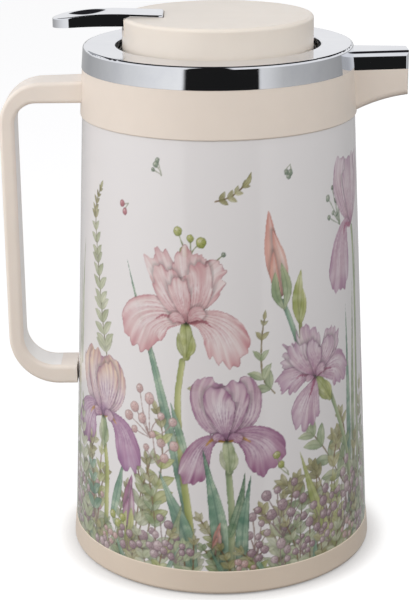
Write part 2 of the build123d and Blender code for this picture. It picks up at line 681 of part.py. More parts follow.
# ===========================================================================
# Stopper
# ===========================================================================
def stopper_body():
    tube_bottom, seat_r, chamber_r = 188, 9, 15
    bead_r = 18.2                    # bead round the tube
    cup_floor, cup_in = 208, 25
    stem_bore = STEM_R + FIT
    ridges = thread_ridges(27.6, 30.6, MALE_Z0, MALE_Z1, MALE_ANGLE)
    with BuildPart() as body:
        with BuildSketch(Plane.XZ):
            with BuildLine():
                Polyline((seat_r, tube_bottom), (TUBE_R, tube_bottom), (TUBE_R, 203.2),
                         (bead_r, 203.5), (bead_r, 204.0), (TUBE_R, 204.3),
                         (TUBE_R, CUP_BOTTOM_Z), (CUP_R, CUP_BOTTOM_Z), (CUP_R, PLATE_Z),
                         (40, PLATE_Z), (40, PLATE_TOP_Z), (4.5, PLATE_TOP_Z), (4.5, 239),
                         (stem_bore, 239), (stem_bore, PLATE_Z), (cup_in, PLATE_Z),
                         (cup_in, cup_floor), (chamber_r, cup_floor),
                         (chamber_r, VALVE_SEAT_Z), (seat_r, VALVE_SEAT_Z), close=True)
            make_face()
        revolve(axis=Axis.Z)
        # guide spider for the stem: hub and three spokes
        with BuildSketch(Plane.XY.offset(cup_floor - 4)):
            Circle(5.2)
            with PolarLocations(10.4, 3, start_angle=60):
                Rectangle(12, 2.4)
            Circle(stem_bore, mode=Mode.SUBTRACT)
        extrude(amount=4)
        # pour windows in the cup
        for turn in range(6):
            with BuildSketch(Plane.YZ.rotated((0, 0, 30 + 60 * turn)).offset(20)):
                with Locations((0, 226)):
                    RectangleRounded(13, 9.5, 2)
            extrude(amount=12, mode=Mode.SUBTRACT)
        # holes for the knob's screws
        with BuildSketch(Plane.XY.offset(PLATE_Z - 1)):
            with GridLocations(KNOB_SCREW_PITCH, KNOB_SCREW_PITCH, 2, 2):
                Circle(1.6)
        extrude(amount=5, mode=Mode.SUBTRACT)
        for ridge in ridges:
            add(ridge)
    return body.part


def stopper_knob():
    roof_z, skirt_in = KNOB_TOP_Z - KNOB_WALL, KNOB_R - KNOB_WALL
    block_top = KNOB_TOP_Z - 0.5
    cheek_z, ear_z, ear_y = 247, 244.4, 12.6
    with BuildPart() as knob:
        with BuildSketch(Plane.XZ) as profile:
            with BuildLine():
                Polyline((0, roof_z), (skirt_in, roof_z), (skirt_in, KNOB_BOTTOM_Z),
                         (KNOB_R, KNOB_BOTTOM_Z), (KNOB_R, KNOB_TOP_Z), (0, KNOB_TOP_Z),
                         close=True)
            make_face()
            round_corner(profile, KNOB_R, KNOB_TOP_Z, 1.7)
            round_corner(profile, KNOB_R, KNOB_BOTTOM_Z, 0.6)
        revolve(axis=Axis.Z)
        # cheeks, shelf and end wall of the lever's channel, and the pin's ears
        with BuildSketch(Plane.XY.offset(cheek_z)):
            with Locations((-32.4, 0)):
                Rectangle(19.4, 24.4)
        extrude(amount=block_top - cheek_z)
        with BuildSketch(Plane.XY.offset(ear_z)):
            with Locations((PIVOT_X, ear_y), (PIVOT_X, -ear_y)):
                Rectangle(8, 4.4)
        extrude(amount=block_top - ear_z)
        # channel, open through the rim
        with BuildSketch(Plane.XY.offset(249.3)):
            with Locations((-35.2, 0)):
                Rectangle(22, CHANNEL_W)
        extrude(amount=10, mode=Mode.SUBTRACT)
        # well below the channel for the lever's hub
        with BuildSketch(Plane.XY.offset(243)):
            with Locations((-31.6, 0)):
                Rectangle(14.8, CHANNEL_W)
        extrude(amount=10, mode=Mode.SUBTRACT)
        # screw bosses
        with BuildSketch(Plane.XY.offset(PLATE_TOP_Z)):
            with GridLocations(KNOB_SCREW_PITCH, KNOB_SCREW_PITCH, 2, 2):
                Circle(3.6)
        extrude(amount=roof_z + 0.4 - PLATE_TOP_Z)
        with BuildSketch(Plane.XY.offset(PLATE_TOP_Z)):
            with GridLocations(KNOB_SCREW_PITCH, KNOB_SCREW_PITCH, 2, 2):
                Circle(KNOB_SCREW_R)
        extrude(amount=11, mode=Mode.SUBTRACT)
        # pin bore through the ears
        with BuildSketch(Plane.XZ):
            with Locations((PIVOT_X, PIVOT_Z)):
                Circle(PIN_R)
        extrude(amount=PIN_HALF + 0.1, both=True, mode=Mode.SUBTRACT)
    return knob.part


def stopper_screws():
    head_h = 2
    with BuildPart() as screws:
        # shank radius and length up, then head radius and height down
        for radius, length in ((KNOB_SCREW_R, 13), (2.9, -head_h)):
            with BuildSketch(Plane.XY.offset(PLATE_Z)):
                with GridLocations(KNOB_SCREW_PITCH, KNOB_SCREW_PITCH, 2, 2):
                    Circle(radius)
            extrude(amount=length)
        # cross recesses
        with BuildSketch(Plane.XY.offset(PLATE_Z - head_h)):
            with GridLocations(KNOB_SCREW_PITCH, KNOB_SCREW_PITCH, 2, 2):
                Rectangle(3.2, 0.8)
                Rectangle(0.8, 3.2)
        extrude(amount=1.1, mode=Mode.SUBTRACT)
    return screws.part


def stopper_seal():
    inner_r, outer_r = TUBE_R + 0.06, 24.1
    low_z, top_z = LINER_BOTTOM_Z + 0.02, CUP_BOTTOM_Z - 0.03
    return turned([(inner_r, low_z), (outer_r, low_z), (outer_r, top_z), (inner_r, top_z)])


# ===========================================================================
# Lever and valve
# ===========================================================================
def lever_blade():
    """Crowned blade with a round tip."""
    cut_x = LEVER_TIP_X - 1          # side view overruns the plan's tip
    arc_x = LEVER_TIP_X + 9.5        # where the round tip starts
    side_half = LEVER_HALF + 2
    with BuildPart() as blade:
        with BuildSketch(Plane.XZ.offset(-side_half)):
            with BuildLine():
                Spline((cut_x, 254.15), (-60.6, 256.3), (-50, 256.9), (-39.7, 256.7),
                       (LEVER_END_X, 256.1))
                Polyline((LEVER_END_X, 256.1), (LEVER_END_X, 251.0), (-44, 251.4))
                Spline((-44, 251.4), (-54, 251.4), (-63, 251.15), (cut_x, 250.1))
                Line((cut_x, 250.1), (cut_x, 254.15))
            make_face()
        extrude(amount=2 * side_half)
        # plan: round tip, small corner radii at the inner end
        with BuildSketch(Plane.XY.offset(245)) as plan:
            with BuildLine():
                Line((LEVER_END_X, -LEVER_HALF), (arc_x, -LEVER_HALF))
                ThreePointArc((arc_x, -LEVER_HALF), (LEVER_TIP_X, 0), (arc_x, LEVER_HALF))
                Polyline((arc_x, LEVER_HALF), (LEVER_END_X, LEVER_HALF),
                         (LEVER_END_X, -LEVER_HALF))
            make_face()
            fillet(plan.vertices().filter_by(lambda v: v.X > -25), radius=2.0)
        extrude(amount=20, mode=Mode.INTERSECT)
        crown = [f for f in blade.faces() if f.normal_at().Z > 0.9][0]
        fillet(crown.edges(), radius=0.7)
    return blade.part


def thumb_dish():
    """Cutter for the shallow oval dish under the thumb."""
    x0, x1 = DISH_X - DISH_HALF_L, DISH_X + DISH_HALF_L
    rim_z, axis_z = DISH_Z + DISH_RISE, DISH_Z + DISH_R
    with BuildPart() as dish:
        with BuildSketch(Plane.XZ):
            with BuildLine():
                ThreePointArc((x0, rim_z), (DISH_X, DISH_Z), (x1, rim_z))
                Polyline((x1, rim_z), (x1, axis_z), (x0, axis_z), (x0, rim_z))
            make_face()
        revolve(axis=Axis((0, 0, axis_z), (1, 0, 0)))
    return dish.part


def thumb_lever():
    hub_r = 3.3
    blade = lever_blade()
    dish = thumb_dish()
    with BuildPart() as lever:
        add(blade)
        add(dish, mode=Mode.SUBTRACT)
        # hub round the pivot
        with BuildSketch(Plane.XZ):
            with Locations((PIVOT_X, PIVOT_Z)):
                Circle(hub_r)
            with BuildLine():
                Polyline((PIVOT_X - hub_r, PIVOT_Z), (PIVOT_X - 4.2, 252), (PIVOT_X + 7.5, 252),
                         (PIVOT_X + hub_r, PIVOT_Z), close=True)
            make_face()
        extrude(amount=LEVER_HALF - 0.3, both=True)
        # arm under the knob's top, to the stem
        with BuildSketch(Plane.XZ):
            with BuildLine():
                Polyline((PIVOT_X - 1, 246.6), (PIVOT_X + 2.6, 248.0), (PIVOT_X + 6, 245.2),
                         (0, 244.8), (0, 240.6), (-6, 241.9), (PIVOT_X + 3, 242.6),
                         (PIVOT_X - 1, 245.6), close=True)
            make_face()
            with Locations((0, 242.8)):
                Circle(3.0)
        extrude(amount=5.5, both=True)
        # fork slot round the stem
        with BuildSketch(Plane.XY.offset(235)):
            with Locations((1.8, 0)):
                Rectangle(10.4, 4.8)
        extrude(amount=13, mode=Mode.SUBTRACT)
        # pin bore
        with BuildSketch(Plane.XZ):
            with Locations((PIVOT_X, PIVOT_Z)):
                Circle(PIN_R + FIT)
        extrude(amount=15, both=True, mode=Mode.SUBTRACT)
    return lever.part


def lever_pin():
    with BuildPart() as pin:
        with BuildSketch(Plane.XZ):
            with Locations((PIVOT_X, PIVOT_Z)):
                Circle(PIN_R)
        extrude(amount=PIN_HALF, both=True)
        chamfer(pin.edges(), length=0.3)
    return pin.part


def valve_stem():
    head_r, head_z, top_z = 5, 245.9, 247.5
    return turned([(0, 186.8), (STEM_R - 0.4, 186.8), (STEM_R, 187.2), (STEM_R, head_z),
                   (head_r, head_z), (head_r, top_z - 0.3), (head_r - 0.3, top_z), (0, top_z)])


def valve_disc():
    disc_r, disc_top, hub_r, hub_top = 12.5, 194, 3.4, 198
    return turned([(STEM_R, DISC_Z), (disc_r, DISC_Z), (disc_r, 193.4), (disc_r - 0.4, disc_top),
                   (hub_r, disc_top), (hub_r, hub_top), (STEM_R, hub_top)])


def valve_seal():
    face_z = VALVE_SEAT_Z + 0.02     # just clear of the seat
    return turned([(STEM_R, VALVE_SEAT_Z), (8.6, VALVE_SEAT_Z), (8.9, face_z), (12.6, face_z),
                   (13, 190.9), (13, DISC_Z), (STEM_R, DISC_Z)])


def stem_nut():
    flange_h, hex_h = 1.2, 2.0
    flange_z = VALVE_SEAT_Z - flange_h
    with BuildPart() as nut:
        with BuildSketch(Plane.XY.offset(flange_z)):
            Circle(6.5)
            Circle(STEM_R, mode=Mode.SUBTRACT)
        extrude(amount=flange_h)
        with BuildSketch(Plane.XY.offset(flange_z - hex_h)):
            RegularPolygon(radius=4.0, side_count=6)
            Circle(STEM_R, mode=Mode.SUBTRACT)
        extrude(amount=hex_h)
    return nut.part


def valve_spring():
    with BuildPart() as spring:
        with BuildLine() as coil:
            Helix(pitch=2.0, height=8.9, radius=4.55, center=(0, 0, 194.55))
        with BuildSketch(Plane(origin=coil.line @ 0, z_dir=coil.line % 0)):
            Circle(0.45)
        sweep(is_frenet=True)
    return spring.part


# ===========================================================================
# One STEP file for each piece, named after its function
# ===========================================================================
PIECES = (outer_shell, base_ring, base_plug, foot_ring, refill_cushion,
          glass_outer, glass_inner, glass_spacer_pads, neck_gasket,
          shoulder_collar, pour_liner, chrome_bezel,
          handle_outer, handle_inner, handle_anchor, handle_screws,
          stopper_body, stopper_knob, stopper_screws, stopper_seal,
          thumb_lever, lever_pin, valve_stem, valve_disc, valve_seal,
          stem_nut, valve_spring)

os.makedirs("parts", exist_ok=True)
for build_piece in PIECES:
    piece = build_piece()
    piece.label = build_piece.__name__
    export_step(piece, f"parts/{piece.label}.step")
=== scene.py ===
"""Looks of a vacuum jug: a flower print on the outer shell, a coiled valve spring and finishes.

The jug stands upright on z = 0 with its axis on Z and its front towards -Y, right towards +X.
Blender works in metres; the print and the turned pieces are worked out in millimetres.
"""

import math

import bpy
import numpy as np
from mathutils import Matrix, Vector


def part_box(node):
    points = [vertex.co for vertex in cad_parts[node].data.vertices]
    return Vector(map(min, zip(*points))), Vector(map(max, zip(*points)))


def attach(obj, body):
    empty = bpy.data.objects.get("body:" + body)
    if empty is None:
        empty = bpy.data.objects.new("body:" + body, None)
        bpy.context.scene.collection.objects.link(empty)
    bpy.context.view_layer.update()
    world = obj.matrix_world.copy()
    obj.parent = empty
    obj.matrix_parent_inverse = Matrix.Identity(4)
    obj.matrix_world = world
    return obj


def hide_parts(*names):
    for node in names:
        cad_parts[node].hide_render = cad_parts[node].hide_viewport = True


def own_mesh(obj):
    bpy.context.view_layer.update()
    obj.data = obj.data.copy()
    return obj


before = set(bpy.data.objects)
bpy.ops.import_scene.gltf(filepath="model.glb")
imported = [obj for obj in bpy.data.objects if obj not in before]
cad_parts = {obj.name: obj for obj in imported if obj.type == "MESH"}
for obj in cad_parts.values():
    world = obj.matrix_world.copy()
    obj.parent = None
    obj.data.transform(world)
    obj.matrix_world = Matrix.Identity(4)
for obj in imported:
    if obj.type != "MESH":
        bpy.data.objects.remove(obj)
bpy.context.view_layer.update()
MM = 0.001


def add_object(name, data):
    made = bpy.data.objects.new(name, data)
    bpy.context.scene.collection.objects.link(made)
    return made


# ---------------------------------------------------------------- the sheet the print is painted on
MEAN_RADIUS = 67.0
GIRTH = 2 * math.pi * MEAN_RADIUS
PRINT_FOOT, PRINT_TOP = 11.5, 215.5
NOISE_SIZES = (0.7, 2.0, 5.5, 14.0)      # mm, from fine to broad
GROUND = np.array([0.975, 0.975, 0.98])


class Sheet:
    """The print unrolled: u across in mm at the mean radius, wrapping round, and z up.

    Pieces are placed relative to `middle`, the u of the repeat being painted; `seed` is added
    to the number of each piece.
    """

    def __init__(self, columns, rows):
        self.columns, self.rows = columns, rows
        self.du, self.dz = GIRTH / columns, (PRINT_TOP - PRINT_FOOT) / (rows - 1)
        self.rgb = np.ones((rows, columns, 3)) * GROUND
        self.cover = np.zeros((rows, columns))
        self.middle, self.seed = 0.0, 0
        random = np.random.RandomState(7)
        self.noise = [self.field(random, size) for size in NOISE_SIZES]

    def field(self, random, size):
        """Blurred white noise that wraps, with unit deviation."""
        white = random.standard_normal((self.rows, self.columns))
        fu = np.fft.fftfreq(self.columns, self.du)[None, :]
        fz = np.fft.fftfreq(self.rows, self.dz)[:, None]
        blur = np.exp(-2 * (math.pi * size * 0.5) ** 2 * (fu ** 2 + fz ** 2))
        soft = np.fft.ifft2(np.fft.fft2(white) * blur).real
        return soft / soft.std()

    def window(self, points, margin_u, margin_z):
        """The samples round some points: rows, columns, their u and z, and the noises there."""
        u_low, z_low = np.min(points, axis=0)
        u_high, z_high = np.max(points, axis=0)
        first = max(0, int(math.floor((z_low - margin_z - PRINT_FOOT) / self.dz)))
        last = min(self.rows, int(math.ceil((z_high + margin_z - PRINT_FOOT) / self.dz)) + 1)
        if last - first < 2:
            return None
        edge = self.middle + GIRTH / 2
        left = int(math.floor((u_low - margin_u + edge) / self.du))
        right = int(math.ceil((u_high + margin_u + edge) / self.du)) + 1
        unwrapped = np.arange(left, right)
        u = (unwrapped * self.du - GIRTH / 2 - self.middle)[None, :]
        z = (np.arange(first, last) * self.dz + PRINT_FOOT)[:, None]
        rows, columns = slice(first, last), unwrapped % self.columns
        noise = [field[rows][:, columns] for field in self.noise]
        return rows, columns, u + 0 * z, z + 0 * u, noise

    def lay(self, rows, columns, colour, alpha, shade=0.0):
        """Lay a colour over what is there, after shading the paint around it."""
        cover = self.cover[rows][:, columns]
        under = self.rgb[rows][:, columns] * (1 - (shade * np.clip(cover, 0, 1))[..., None])
        a = alpha[..., None]
        self.rgb[rows, columns] = under * (1 - a) + np.clip(colour, 0, 1) * a
        self.cover[rows, columns] = np.maximum(cover, alpha)


SHEET = Sheet(1152, 536)


# ---------------------------------------------------------------- painting helpers
def smooth(x, a, b):
    t = np.clip((x - a) / (b - a), 0, 1)
    return t * t * (3 - 2 * t)


def bell(x, width):
    return np.exp(-(x / width) ** 2)


def rim(depth, width):
    """Strong at a shape's edge, fading inwards; depth is the distance inside the edge."""
    return bell(np.clip(depth, 0, None), width)


def wet_edge(depth, width):
    """As rim, with a longer tail."""
    return np.exp(-np.clip(depth, 0, None) / width)


def mix(under, over, amount, most=1.0):
    """Blend two colours by an amount held between 0 and most."""
    k = np.clip(amount, 0, most)[..., None]
    return under * (1 - k) + over * k


def curve(points, steps):
    """A smooth line through a few points (Catmull-Rom)."""
    p = np.asarray(points, float)
    if len(p) == 2:
        return p[0] + (p[1] - p[0]) * np.linspace(0, 1, max(3, steps // 3))[:, None]
    ends = np.vstack([2 * p[0] - p[1], p, 2 * p[-1] - p[-2]])
    out = []
    per_span = max(2, int(math.ceil(steps / (len(p) - 1))))
    t = np.linspace(0, 1, per_span, endpoint=False)[:, None]
    for i in range(1, len(ends) - 2):
        a, b, c, d = ends[i - 1:i + 3]
        out.append(0.5 * (2 * b + (c - a) * t + (2 * a - 5 * b + 4 * c - d) * t ** 2
                          + (3 * b - a - 3 * c + d) * t ** 3))
    out.append(p[-1][None, :])
    return np.vstack(out)


def fit_line(line, u, z):
    """Nearest place on the line for each sample: share along it, mm to its left; and its length."""
    spans = line[1:] - line[:-1]
    lengths = np.hypot(spans[:, 0], spans[:, 1]) + 1e-9
    starts = np.concatenate([[0], np.cumsum(lengths)])
    best = np.full(u.shape, 1e9)
    along = np.zeros(u.shape)
    off = np.zeros(u.shape)
    for start, (su, sz), length, before in zip(line, spans, lengths, starts):
        du, dz = u - start[0], z - start[1]
        run = np.clip((du * su + dz * sz) / length, 0, length)
        gap_u, gap_z = du - run * su / length, dz - run * sz / length
        gap = gap_u * gap_u + gap_z * gap_z
        nearer = gap < best
        best[nearer] = gap[nearer]
        side = np.where(su * dz - sz * du >= 0, 1.0, -1.0)
        along[nearer] = ((before + run) / starts[-1])[nearer]
        off[nearer] = (side * np.sqrt(gap))[nearer]
    return along, off, starts[-1]


def wobble(t, waves, seed):
    """A smooth one-dimensional wobble."""
    random = np.random.RandomState(seed)
    out = 0
    for k, f in enumerate((1.0, 1.9, 3.3)):
        out = out + math.sqrt(0.6 ** k) * np.sin(2 * math.pi * (t * waves * f + random.rand()))
    return out / 1.9


_lattices = {}


def value_noise(x, y, seed):
    """Smooth value noise on a small wrapped lattice, about -1 to 1."""
    if seed not in _lattices:
        _lattices[seed] = np.random.RandomState(seed).uniform(-1, 1, (64, 64))
    table = _lattices[seed]
    xi, yi = np.floor(x).astype(int), np.floor(y).astype(int)
    fx, fy = x - xi, y - yi
    fx, fy = fx * fx * (3 - 2 * fx), fy * fy * (3 - 2 * fy)
    a, b = table[xi % 64, yi % 64], table[(xi + 1) % 64, yi % 64]
    c, d = table[xi % 64, (yi + 1) % 64], table[(xi + 1) % 64, (yi + 1) % 64]
    return (a * (1 - fx) + b * fx) * (1 - fy) + (c * (1 - fx) + d * fx) * fy


def placer(centre, size, turn, mirror=1):
    """Maps a flower's own coordinates to the sheet; turn is in degrees."""
    cos, sin = math.cos(math.radians(turn)), math.sin(math.radians(turn))
    return lambda p: (centre[0] + size * (mirror * p[0] * cos - p[1] * sin),
                      centre[1] + size * (mirror * p[0] * sin + p[1] * cos))


def swell(width, peak, power, least=0.0):
    """Half width of a spindle that is widest at `peak` of its length."""
    k = math.log(0.5) / math.log(peak)
    return lambda t: (width * math.sin(math.pi * t ** k) ** power if 0 < t < 1 else 0.0) + least


def stroke(points, width, paint, opacity=1.0, ruffle=0.0, waves=4.0, seed=0, shadow=0.0,
           steps=22, soft=0.22):
    """One brush shape: a line with a half width along it.

    paint(along, across, depth, noise) gives its colour.
    """
    line = curve(points, steps)
    stations = np.linspace(0, 1, 80)
    widths = np.array([width(t) for t in stations])
    margin = widths.max() * (1 + 1.6 * ruffle) + 1.6
    window = SHEET.window(line, margin, margin)
    if window is None:
        return
    rows, columns, u, z, noise = window
    along, off, length = fit_line(line, u, z)
    half = np.interp(along, stations, widths)
    if ruffle:
        wave = np.where(off > 0, wobble(along, waves, seed * 2 + 1),
                        wobble(along, waves, seed * 2 + 2))
        half = half * (1 + ruffle * wave * smooth(along, 0.12, 0.45))
    slope = np.interp(along, stations, np.gradient(widths, stations)) / max(length, 1e-6)
    slope = np.clip(slope, -1.2, 1.2)
    depth = (half - np.abs(off)) / np.sqrt(1 + slope * slope)
    alpha = smooth(depth + 0.06 * noise[0], -soft, soft) * opacity
    across = np.clip(off / np.maximum(half, 0.05), -1.2, 1.2)
    colour = paint(along, across, depth, noise)
    SHEET.lay(rows, columns, colour, alpha, shadow * rim(-depth, 1.3) * (1 - alpha))


def fan(points, spread, paint, opacity, ruffle, scallops, seed, shadow):
    """A petal that opens from its first point along a bent spine, frilled at its far edge."""
    spine = curve(points, 20)
    length = np.hypot(*(spine[1:] - spine[:-1]).T).sum()
    step = spine[-1] - spine[-2]
    tip = spine[-1] + step / max(1e-6, np.hypot(*step)) * length * 0.4
    line = np.vstack([spine, tip])
    half_angle = math.radians(spread)
    margin = length * math.sin(half_angle) + 3
    window = SHEET.window(line, margin, margin)
    if window is None:
        return
    rows, columns, u, z, noise = window
    along, off, full = fit_line(line, u, z)
    run = along * full
    radius = np.hypot(run, off) + 1e-6
    angle = np.arctan2(off, run + 0.001)
    angle = angle + 0.05 * noise[3] * half_angle
    across = angle / half_angle

    def outline(q):
        body = (1 - np.clip(np.abs(q), 0, 1) ** 2.5) ** (1 / 2.1)
        phase = q * scallops * 0.5 + 0.3 * np.sin(3.1 * q + seed) + 0.37 * seed
        scallop = np.sqrt(0.04 + np.sin(math.pi * phase) ** 2) - 0.66
        broad = value_noise(q * scallops * 1.1 + 4, 0.3, seed * 5 + 9)
        fine = value_noise(q * scallops * 3.3 + 4, 0.3, seed * 5 + 10)
        return length * body * (1 + ruffle * (0.50 * scallop + 0.75 * broad + 0.14 * fine))

    edge = outline(across)
    nudge = 0.02
    slope = (outline(across + nudge) - outline(across - nudge)) / (2 * nudge * half_angle)
    depth = (edge - radius) / np.sqrt(1 + np.clip(slope / np.maximum(radius, 0.6), -6, 6) ** 2)
    # outside the opening angle the distance is measured to the side, or to the throat behind
    away = np.clip(np.abs(angle) - half_angle, 0, math.pi)
    beyond = np.clip(radius * np.cos(away) - 0.4 * length, 0, None)
    aside = np.where(away < math.pi / 2, np.hypot(radius * np.sin(away), beyond), radius)
    depth = np.where(np.abs(across) >= 1, -aside - 0.12, depth)
    alpha = smooth(depth + 0.05 * noise[0], -0.24, 0.24) * opacity
    share = np.clip(radius / np.maximum(edge, 0.3), 0, 1.2)
    colour = paint(share, np.clip(across, -1.2, 1.2), radius, half_angle, depth, noise)
    SHEET.lay(rows, columns, colour, alpha, shadow * rim(-depth, 1.1) * (1 - alpha))


# ---------------------------------------------------------------- colours of the print
def ink(code):
    return np.array([int(code[i:i + 2], 16) / 255.0 for i in (0, 2, 4)])


def inks(codes):
    return [ink(code) for code in codes.split()]


# light, dark, rib
GREENS = dict(sage=inks("c3cda6 8ca27a 677a5a"), blue=inks("b0c9b0 68917c 4a6e64"),
              lime=inks("cfd398 9ba75e 777d44"), olive=inks("cbc99c 9a9766 7c6b4b"),
              pale=inks("dce1c8 b3bc98 909a7b"), deep=inks("97b08c 5c7f63 3b5e4c"))
# light, dark
BERRIES = dict(mauve=inks("dccace 9a8189"), plum=inks("cab3ba 7f6470"),
               rose=inks("e8cbc6 b89494"), green=inks("cdd182 7c8a3c"),
               grey=inks("b3bfa8 6d8272"), red=inks("d8979d a86570"))

# Flower colours: the standing petals, the falling ones, and details. A bud needs the first five.
PARTS = ("stand_body", "stand_edge", "fall_body", "fall_edge", "rim",
         "stand_foot", "fall_foot", "vein", "beard", "arm")
# name: tint over every colour, then a colour for each part
PALETTES = dict(
    salmon=((1.0, 1.0, 1.0), "f4d2c6 eebfae f0beb0 e2a598 bd736a"),
    pink=((0.985, 1.0, 0.995),
          "f1d3d3 f6e0de f6e0de e5b0b3 c67f89 e0aeb2 f0d8d3 c77e87 bd6a78 ebc9cb"),
    violet=((0.985, 0.975, 0.93),
            "dfc8dc d3b0cc bb8db0 985d8b 8f5a8c bf9cbb d6bbd0 8c5a8b e0ad40 cfadca"),
    peach=((1.0, 0.97, 0.955),
           "f1e2de f5d8b0 bd92bb 93609a 936792 c3a6c6 dcc0d5 865a8c ecb84e dfc3d6"),
    lilac=((0.985, 0.975, 0.94),
           "e4cfdf dccae0 d8bdd1 bd96bb a57aa2 cc9fb6 e4d2e0 a9739f b86a90 dcbdd0"),
)
PALETTES = {name: {part: colour * np.array(tint) for part, colour in zip(PARTS, inks(codes))}
            for name, (tint, codes) in PALETTES.items()}
WHITE_INK = np.array([0.985, 0.975, 0.98])
LEAF_LIGHT = np.array([0.95, 0.97, 0.88])
BERRY_LIGHT = np.array([1, 0.97, 0.97])
STALK, BERRY_STALK, BROWN_STALK = "8a7c58", "8d7a78", "86684a"


# ---------------------------------------------------------------- leaves, stalks and berries
def leaf_paint(tone, phase=None):
    """Green wash with a rib; a phase adds fine lines that run along the leaf."""
    light, dark, rib = GREENS[tone]

    def paint(along, across, depth, noise):
        c = mix(light, dark, 0.5 + 0.38 * across + 0.22 * noise[2])
        c = mix(c, LEAF_LIGHT, 0.17 * noise[1] + 0.10, 0.4)
        if phase is not None:
            c = mix(c, dark * 0.86, (np.abs(np.sin(across * 9 + phase)) < 0.28) * 0.2)
        c = mix(c, rib, bell(across, 0.12) * 0.42)
        return mix(c, dark * 0.72, rim(depth, 0.32) * (0.5 + 0.2 * noise[2]), 0.75)
    return paint


def leaf(width, tone, points, opacity=0.93, peak=0.4):
    stroke(points, swell(width, peak, 0.85), leaf_paint(tone), opacity, shadow=0.08, steps=8,
           soft=0.2)


def blade(width, tone, phase, opacity, points):
    """A long sword-shaped leaf."""
    def half(t):
        return (width * (0.62 + 0.38 * math.sin(math.pi * min(1.0, t * 1.3)))
                * max(0.0, 1 - t ** 2.4) ** 0.8)
    stroke(points, half, leaf_paint(tone, phase), opacity, shadow=0.08, steps=16, soft=0.2)


def stem(width, tone, points):
    light, dark, _ = GREENS[tone]

    def paint(along, across, depth, noise):
        c = mix(light * 1.02, dark, 0.5 + 0.55 * across + 0.12 * noise[2])
        return mix(c, dark * 0.7, rim(depth, 0.22) * 0.45)
    stroke(points, lambda t: width * (1 + (0.8 - 1) * t), paint, 0.95, shadow=0.06, steps=24,
           soft=0.2)


def twig(points, width, code):
    colour = ink(code)
    stroke(points, lambda t: width, lambda along, across, depth, noise:
           colour + 0 * across[..., None], 0.85, steps=10)


def spray(number, pairs, length, width, tone, points, tip=None, angle=48, taper=1.0,
          stalk=STALK, opacity=0.86):
    """Leaflets in pairs along a stalk; points run from the root to the tip."""
    random = np.random.RandomState(SHEET.seed + number)
    tip = tip or tone
    line = curve(points, 30)
    twig(points, 0.34, stalk)
    heading = np.gradient(line, axis=0)
    for k in range(pairs):
        t = (k + 0.6) / pairs
        i = min(len(line) - 1, int(t * (len(line) - 1)))
        foot = line[i]
        direction = math.atan2(heading[i, 1], heading[i, 0])
        size = (1 - 0.72 * t ** 1.3 * taper) * random.uniform(0.9, 1.1)
        reach = length * size
        for side in (1, -1):
            a = direction + side * math.radians(angle + random.uniform(-8, 8)) * (1 - 0.3 * t)
            bent, end = a - side * 0.14, a + side * 0.02
            leaf(width * size, tone if t < 0.7 else tip,
                 [foot, foot + reach * 0.5 * np.array([math.cos(bent), math.sin(bent)]),
                  foot + reach * np.array([math.cos(end), math.sin(end)])], opacity, peak=0.46)
    a = math.atan2(heading[-1, 1], heading[-1, 0])
    ahead = np.array([math.cos(a), math.sin(a)])
    leaf(width * 0.45, tip, [line[-1] - 0.5 * ahead, line[-1] + length * 0.42 * ahead], opacity)


def berry(x, z, radius, light, dark, seed, squash):
    window = SHEET.window([(x, z)], radius + 1, radius * squash + 1)
    if window is None:
        return
    rows, columns, uu, zz, noise = window
    dx, dz = uu - x, zz - z
    out = np.hypot(dx, dz / squash)
    depth = radius - out + 0.07 * noise[0]
    c = mix(light, dark, 0.8 * (0.5 + 0.5 * (dx * 0.6 - dz * 0.7) / radius), 0.8)
    glint = bell(np.hypot(dx + 0.35 * radius, dz - 0.35 * radius), 0.35 * radius)
    c = mix(c, BERRY_LIGHT, glint * 0.6 + 0.08 * noise[1], 0.8)
    c = mix(c, dark * 0.72, rim(depth, 0.3) * 0.65)
    # small calyx mark
    a = np.arctan2(dz, dx + 0.15 * radius)
    star = bell(out - 0.45 * radius, 0.32 * radius) * (np.abs(np.sin(2.5 * a + seed)) < 0.22)
    c = mix(c, dark * 0.6, star * 0.4)
    SHEET.lay(rows, columns, c, smooth(depth, -0.22, 0.22) * 0.95)


def berries(number, kind, radius, stalk, root, spots):
    """Berries at given spots, each on a thin stalk from the root."""
    seed = SHEET.seed + number
    random = np.random.RandomState(seed)
    for x, z in spots:
        middle = ((x + root[0]) / 2 + random.uniform(-1.5, 1.5),
                  (z + root[1]) / 2 + random.uniform(-1, 1))
        twig([root, middle, (x, z)], 0.24, stalk)
    light, dark = BERRIES[kind]
    for k, (x, z) in enumerate(spots):
        berry(x, z, radius * random.uniform(0.72, 1.12), light * random.uniform(0.94, 1.05),
              dark, seed + k, random.uniform(1.0, 1.22))


def cluster(root, count, reach_x, reach_z, kind, radius, number):
    """Berries scattered in a small head over their root, no two on the same spot."""
    random = np.random.RandomState(SHEET.seed + number)
    spots = []
    for _ in range(count * 12):
        a, d = random.uniform(0, 2 * math.pi), math.sqrt(random.uniform(0.05, 1))
        x = root[0] + reach_x * d * math.cos(a)
        z = root[1] + 1.0 + reach_z * (1 + d * math.sin(a))
        if all(math.hypot(x - u, z - v) > 1.75 * radius for u, v in spots):
            spots.append((x, z))
        if len(spots) == count:
            break
    berries(number, kind, radius, BERRY_STALK, root, spots)


